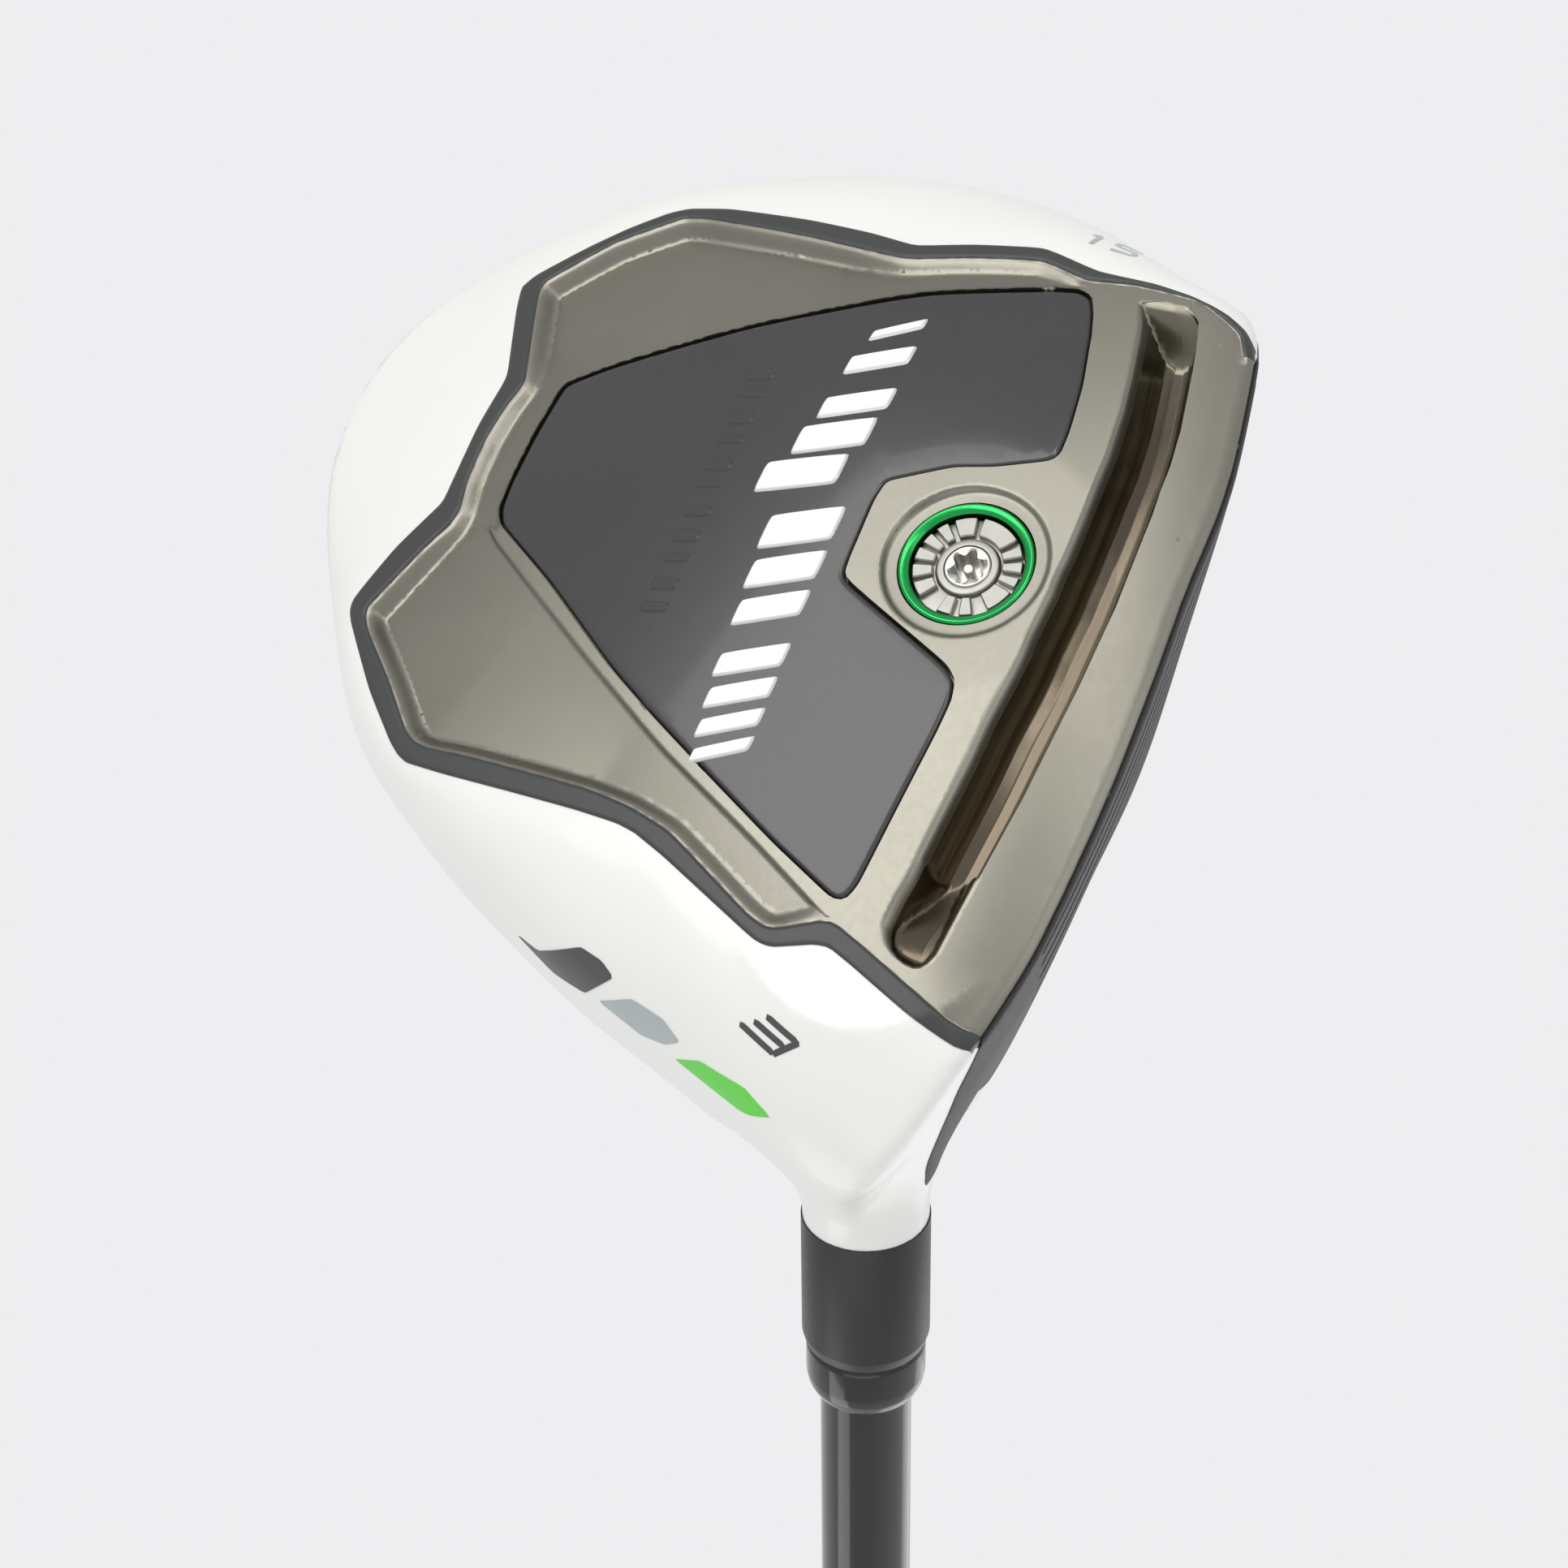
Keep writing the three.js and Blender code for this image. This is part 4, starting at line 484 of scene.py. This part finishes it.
v2, tri = cdt(FACE, (), gl+[(offset(FACE, 0.3), True)], G)
yf, okf = faceRoot(v2); P3 = np.c_[v2[:, 0], yf, v2[:, 1]]; nrm = unit(grad(head, P3))
dfe = dist(FACE, v2, True); hh = 0.13-0.05*(1-smooth(dfe/0.3))+0.17*(1-smooth(dist(lower, v2, False)/1.4))
for i, zz in enumerate(grooves):
    wx = 21.0 if i < 7 else 18.0-(i-7)*4
    inn = (np.abs(v2[:, 0]) < wx+2.02)
    hh = np.where(inn & (np.abs(v2[:, 1]-zz) < 0.25), -0.28, hh)
C = v2[tri].mean(1); fm = np.zeros(len(tri), int)
for i, zz in enumerate(grooves):
    wx = 21.0 if i < 7 else 18.0-(i-7)*4
    fm[(np.abs(C[:, 1]-zz) < 0.21) & (np.abs(C[:, 0]) < wx+2.0)] = 1
top = P3+nrm*hh[:, None]; bot = P3-nrm*1.3
V, F = slab(top, bot, tri, flip=False)
fmat = list(fm)+[0]*(len(F)-len(tri))
# the (x, z) plane seen from -Y has x to the right and z up, so the slab's outside is -Y
make("hitting_face", V, F, [M_FACE, M_LINE], "face_black", "club", ("face_plate",), fmat, sharp=40)
print("face", len(v2), int(okf.sum()))

# ------------------------------------------------------------------ white shell by surface nets
CELLS = 0.95
lo3, hi3 = np.array([-61.5, -25.5, -1.6]), np.array([57.0, 78.0, 41.5])
n3 = np.ceil((hi3-lo3)/CELLS).astype(int)+1
ax = [lo3[k]+CELLS*np.arange(n3[k]) for k in range(3)]
X, Y, Z = np.meshgrid(*ax, indexing="ij")
D = np.empty(X.shape)
for i in range(0, n3[0], 16):
    s = slice(i, i+16); D[s] = shell(X[s].ravel(), Y[s].ravel(), Z[s].ravel()).reshape(X[s].shape)
S = D < 0
cell = np.zeros(np.array(S.shape)-1, int)
corner = [(i, j, k) for i in (0, 1) for j in (0, 1) for k in (0, 1)]
for i, j, k in corner: cell += S[i:S.shape[0]-1+i, j:S.shape[1]-1+j, k:S.shape[2]-1+k]
act = (cell > 0) & (cell < 8); idx = -np.ones(act.shape, int); ids = np.argwhere(act); idx[act] = np.arange(len(ids))
acc = np.zeros((len(ids), 3)); cnt = np.zeros(len(ids))
for axd in range(3):
    o1, o2 = [a for a in range(3) if a != axd]
    for a in (0, 1):
        for b in (0, 1):
            p = np.zeros(3, int); p[o1] = a; p[o2] = b; q = p.copy(); q[axd] = 1
            A = ids+p; B = ids+q; da = D[A[:, 0], A[:, 1], A[:, 2]]; db = D[B[:, 0], B[:, 1], B[:, 2]]
            m = (da < 0) != (db < 0); t = np.where(m, da/np.where(m, da-db, 1), 0)
            pos = A+np.zeros(3); pos[:, axd] += t
            acc[m] += pos[m]; cnt[m] += 1
VS = lo3+CELLS*acc/cnt[:, None]
for _ in range(3):
    d = head(*VS.T); g = grad(head, VS); q, _r = axisQR(*VS.T)
    step = d[:, None]*g/np.maximum(0.2, np.sum(g*g, axis=1))[:, None]
    VS = VS-np.where((q < QJ+1.8)[:, None], np.clip(step, -0.5, 0.5), 0)
FQ = []
for axd in range(3):
    o1, o2 = (axd+1) % 3, (axd+2) % 3
    sl0 = [slice(None)]*3; sl1 = [slice(None)]*3; sl0[axd] = slice(0, -1); sl1[axd] = slice(1, None)
    ch = S[tuple(sl0)] != S[tuple(sl1)]; e = np.argwhere(ch)
    e = e[(e[:, o1] > 0) & (e[:, o2] > 0) & (e[:, o1] < S.shape[o1]-1) & (e[:, o2] < S.shape[o2]-1)]
    ins_ = S[e[:, 0], e[:, 1], e[:, 2]]
    def cid(da, db):
        c = e.copy(); c[:, o1] -= da; c[:, o2] -= db; return idx[c[:, 0], c[:, 1], c[:, 2]]
    Q = np.c_[cid(1, 1), cid(0, 1), cid(0, 0), cid(1, 0)]
    Q[~ins_] = Q[~ins_][:, ::-1]; FQ.append(Q)
FQ = np.vstack(FQ); FQ = FQ[(FQ >= 0).all(1)]
cen = VS[FQ].mean(1); ng = unit(grad(head, cen))
cut = (inside(SOLE, cen[:, :2]) & (dist(SOLE, cen[:, :2], True) > 0.75) & (ng[:, 2] < -0.2) & (cen[:, 2] < 14))
cut |= inside(FACE, cen[:, [0, 2]]) & (dist(FACE, cen[:, [0, 2]], True) > 0.9) & (ng[:, 1] < -0.35) & (cen[:, 1] < -5)
q_, r_ = axisQR(*cen.T); cut |= (q_ > QJ+1.9)
FQ = FQ[~cut]; used = np.unique(FQ); mp = -np.ones(len(VS), int); mp[used] = np.arange(len(used)); VS = VS[used]; FQ = mp[FQ]
NV = unit(grad(head, VS)); q_, r_ = axisQR(*VS.T)
n = len(VS); inner = VS-NV*1.1
edges = {}
for f in FQ.tolist():
    for a, b in zip(f, f[1:]+f[:1]): edges[(a, b)] = 1
rim = [(a, b) for a, b in edges if (b, a) not in edges]
F = [tuple(f) for f in FQ.tolist()]+[tuple(x+n for x in f[::-1]) for f in FQ.tolist()]+[(b, a, a+n, b+n) for a, b in rim]
make("white_shell", np.vstack([VS, inner]), F, M_WHITE, "white_paint", "club", ("crown_plate", "rattle_pad"), None, 60)
print("shell", n, len(FQ))

# ------------------------------------------------------------------ marks on the white heel and toe
def decal(name, pts, m, slot, t=0.07):
    """A thin slab laid on the head: pts are (x, y, z) corners near the surface."""
    P = np.array(pts, float); c = P.mean(0); nn = unit(grad(head, c[None]))[0]
    u = unit(np.cross(nn, [0, 0, 1.0])); w = np.cross(nn, u)
    L = np.c_[(P-c)@u, (P-c)@w]; L = resample(chaikin(L, True, 1, 0.04), 0.6, True)
    G = np.c_[[a.ravel() for a in np.meshgrid(np.arange(-14, 14, 0.9), np.arange(-14, 14, 0.9))]].T+0.019
    G = G[inside(L, G) & (dist(L, G, True) > 0.3)]
    v, tr = cdt(L, (), (), G); Q = c+v[:, :1]*u+v[:, 1:]*w
    for _ in range(8):
        d = head(*Q.T); g = grad(head, Q); Q = Q-np.clip(d[:, None]*g/np.maximum(0.2, np.sum(g*g, axis=1))[:, None], -1.5, 1.5)
    g = unit(grad(head, Q)); Vd, Fd = slab(Q+g*t, Q-g*0.25, tr, flip=bool(np.dot(np.cross(u, w), nn) < 0))
    return make(name, Vd, Fd, m, slot, "club", (), None, 60)
decal("heel_chip_black", [(31.6,32.6,13.4),(33.79,30.3,12.43),(33.62,24.56,8.73),(34.4,21.96,8.68),(35.5,20.5,9.35),(36.3,24.2,13.0),(34.6,28.2,13.9)], M_INK, "black_polymer")
decal("heel_chip_grey", [(36.91,22.49,12.73),(36.81,18.25,10.0),(38.01,14.32,9.64),(39.39,12.23,10.57),(39.51,14.15,12.08),(38.6,17.2,13.4)], M_GREY, "silver_metal")
decal("heel_chip_green", [(40.33,13.04,12.98),(40.53,9.82,10.85),(42.1,4.35,10.04),(43.74,1.25,11.13),(43.7,3.7,12.49),(43.4,5.01,12.9)], M_GREEN, "green_anodised")
def stroke(a, b, w):
    a, b = np.array(a), np.array(b); n_ = unit(grad(head, ((a+b)/2)[None]))[0]; d = unit(b-a); s = unit(np.cross(n_, d))*w/2
    return [a-s, b-s, b+s, a+s]
n3 = [((37.61,5.45,5.77),(39.39,1.32,6.28)), ((37.2,3.97,5.2),(38.78,0.3,5.49)), ((36.64,2.72,4.57),(38.24,-1.01,4.94)), ((39.45,1.45,6.35),(38.15,-1.15,4.88))]
for i, (a, b) in enumerate(n3): decal("numeral_3_%d" % (i+1), stroke(a, b, 0.62), M_INK, "black_polymer", 0.05)
N0, NU, NW = np.array([-49.3, -0.1, 3.5]), np.array([0.02, -0.955, 0.295]), np.array([-0.5, 0.0, 0.866])
n15 = [((-1.95, 0), (-1.95, 3.1)), ((-1.95, 3.1), (-2.75, 2.4)), ((0, 0), (2.3, 0)), ((2.3, 0), (2.3, 1.6)), ((2.3, 1.6), (0, 1.6)), ((0, 1.6), (0, 3.1)), ((0, 3.1), (2.3, 3.1))]
n15 = [tuple(N0+u*NU+v*NW for u, v in ab) for ab in n15]
for i, (a, b) in enumerate(n15): decal("numeral_15_%d" % (i+1), stroke(a, b, 0.5), M_GREY, "silver_metal", 0.05)

# ------------------------------------------------------------------ hosel band, ferrule, shaft, grip
make("hosel_band", *lathe(rounded([(5.4,QJ),(6.24,QJ),(6.24,50.5),(5.9,51.7),(4.85,51.7),(4.85,QJ+3.2),(5.4,QJ+3.2)], 0.10), 96, on_shaft), M_HBAND, "black_polymer", "club", ("hosel_plug",), None, 35)
make("ferrule_sleeve", *lathe(rounded([(4.6,51.75),(5.62,51.75),(5.86,52.3),(5.86,55.6),(5.7,56.6),(5.3,57.5),(4.9,58.0),(4.6,58.1)], 0.2), 96, on_shaft), M_FERR, "ferrule_gloss", "club", ("ferrule",), None, 40)
shR = lambda q: 4.48 if q < 200 else 4.48+(7.6-4.48)*(q-200)/894.0
qs = [37.0, 61.0, 120.0, 200.0]+[200+k*20.0 for k in range(1, 33)]
make("shaft_tube", *lathe([(0, 37.0)]+[(shR(q), q) for q in qs]+[(0, qs[-1]+0.001)], 96, on_shaft), M_SHAFT, "shaft_gloss", "club", ("shaft", "shaft_tip_plug"), None, 35)
G0, G1 = 831.0, 1093.8
grR = lambda q: 9.9+3.4*max(0.0, (q-G0)/(G1-G0))**1.15
def gd(r, h, a):
    if r < 9.6 or h < G0+6 or h > G1-5: return 0.0
    u = (a/(2*math.pi))*28; w = (h-G0)/2.6
    if int((h-G0)/44) % 2 == 0 or True:
        d1 = abs(((u+w) % 2)-1); d2 = abs(((u-w) % 2)-1)
        g = min(d1, d2); deep = 0.34*max(0.0, 1-g/0.24)
    zone = (h-G0) % 66.0
    if zone < 2.0 or zone > 64.0: deep = 0.42
    elif zone < 5.0 or zone > 61.0: deep = 0.0
    return -deep
gq = np.arange(G0+2.0, G1-1.0, 0.44)
prof = [(shR(G0)+0.25, G0), (grR(G0)-1.3, G0), (grR(G0)-0.5, G0+0.4), (grR(G0), G0+1.4)]+[(grR(q), q) for q in gq]+[(grR(G1)-0.1, G1-0.6), (grR(G1)-0.7, G1), (7.9, G1), (7.9, G1-6), (shR(G0)+0.25, G0+8)]
make("grip_rubber", *lathe(prof, 168, on_shaft, gd), M_GRIP, "grip_rubber", "club", ("grip_sleeve", "grip_tape"), None, 28)
make("grip_end_cap", *lathe([(1.5, 1092.2)]+rounded([(13.15,1094.1),(13.6,1094.5),(13.6,1096.9),(12.9,1097.9),(10.2,1098.0),(9.9,1097.75),(9.5,1097.75),(9.2,1098.0),(1.9,1098.0),(1.5,1097.6)], 0.3)[0:], 120, on_shaft), M_CAPR, "grip_rubber", "club", ("grip_cap",), None, 30)

# ------------------------------------------------------------------ camera, backdrop, light
sc = bpy.context.scene
R = np.array([[-0.3630977,-0.9019530,0.2337538],[0.8603727,-0.2282595,0.4556933],[-0.3576574,0.3665766,0.8588962]])
CAM = np.array([0.14735, -0.12638540, -0.31531162])
cd = bpy.data.cameras.new("camera"); cam = bpy.data.objects.new("camera", cd); sc.collection.objects.link(cam)
cd.sensor_width = 36; cd.lens = 91.28; cd.clip_start = 0.02; cd.clip_end = 20
def place(o, right, up, back, loc):
    o.matrix_world = Matrix(((right[0], up[0], back[0], loc[0]), (right[1], up[1], back[1], loc[1]), (right[2], up[2], back[2], loc[2]), (0, 0, 0, 1)))
place(cam, R[0], -R[1], -R[2], CAM); sc.camera = cam
def camp(x, y, z): return CAM+R[0]*x-R[1]*y+R[2]*z
mf = bpy.data.materials.new("floor"); mf.use_nodes = True; mf.node_tree.nodes["Principled BSDF"].inputs["Base Color"].default_value = (0.76, 0.76, 0.76, 1); mf.node_tree.nodes["Principled BSDF"].inputs["Roughness"].default_value = 0.8
me = bpy.data.meshes.new("floor"); s = 6.0; me.from_pydata([(-s, -s, -0.60), (s, -s, -0.60), (s, s, -0.60), (-s, s, -0.60)], [], [(0, 1, 2, 3)]); me.materials.append(mf)
flo = bpy.data.objects.new("floor", me); sc.collection.objects.link(flo)
w = bpy.data.worlds.new("world"); sc.world = w; w.use_nodes = True; wt = w.node_tree; bg = wt.nodes["Background"]
tc = wt.nodes.new("ShaderNodeTexCoord"); sp = wt.nodes.new("ShaderNodeSeparateXYZ"); mr = wt.nodes.new("ShaderNodeMapRange"); mx = wt.nodes.new("ShaderNodeMixRGB")
mr.inputs["From Min"].default_value = -0.05; mr.inputs["From Max"].default_value = 0.6
wt.links.new(tc.outputs["Generated"], sp.inputs[0]); wt.links.new(sp.outputs["Z"], mr.inputs["Value"]); wt.links.new(mr.outputs["Result"], mx.inputs["Fac"])
mx.inputs["Color1"].default_value = (0.60, 0.61, 0.62, 1); mx.inputs["Color2"].default_value = (0.850, 0.853, 0.866, 1)
wt.links.new(mx.outputs["Color"], bg.inputs["Color"]); bg.inputs["Strength"].default_value = 1.0
def light(name, loc, target, size, power, col=(1, 1, 1)):
    ld = bpy.data.lights.new(name, "AREA"); ld.shape = "RECTANGLE"; ld.size, ld.size_y = size; ld.energy = power; ld.color = col
    o = bpy.data.objects.new(name, ld); sc.collection.objects.link(o); loc, target = Vector(loc), Vector(target)
    o.matrix_world = Matrix.Translation(loc) @ (target-loc).to_track_quat("-Z", "Y").to_matrix().to_4x4(); return o
HC = np.array([-0.002, 0.02, 0.01])
light("key", camp(-0.28, 0.34, 0.02), HC, (0.5, 0.3), 1.35, (1.0, 0.99, 0.97))
light("fill", camp(0.42, 0.05, 0.10), HC, (0.25, 0.5), 0.3, (0.97, 0.98, 1.0))
light("strip", camp(0.06, 0.25, 0.12), (-0.005, -0.012, 0.0), (0.30, 0.04), 0.17, (1.0, 0.99, 0.96))
light("low", camp(-0.05, -0.40, 0.12), HC, (0.5, 0.2), 0.25, (1, 1, 1))
light("top", (0.2, -0.5, 1.9), (0.1, 0, 0.3), (1.4, 1.0), 3.0, (1, 1, 1))
light("side", (1.6, 0.7, 1.0), (0.3, 0, 0.4), (0.8, 1.2), 4.0, (1, 1, 1))
sc.view_settings.view_transform = "Standard"
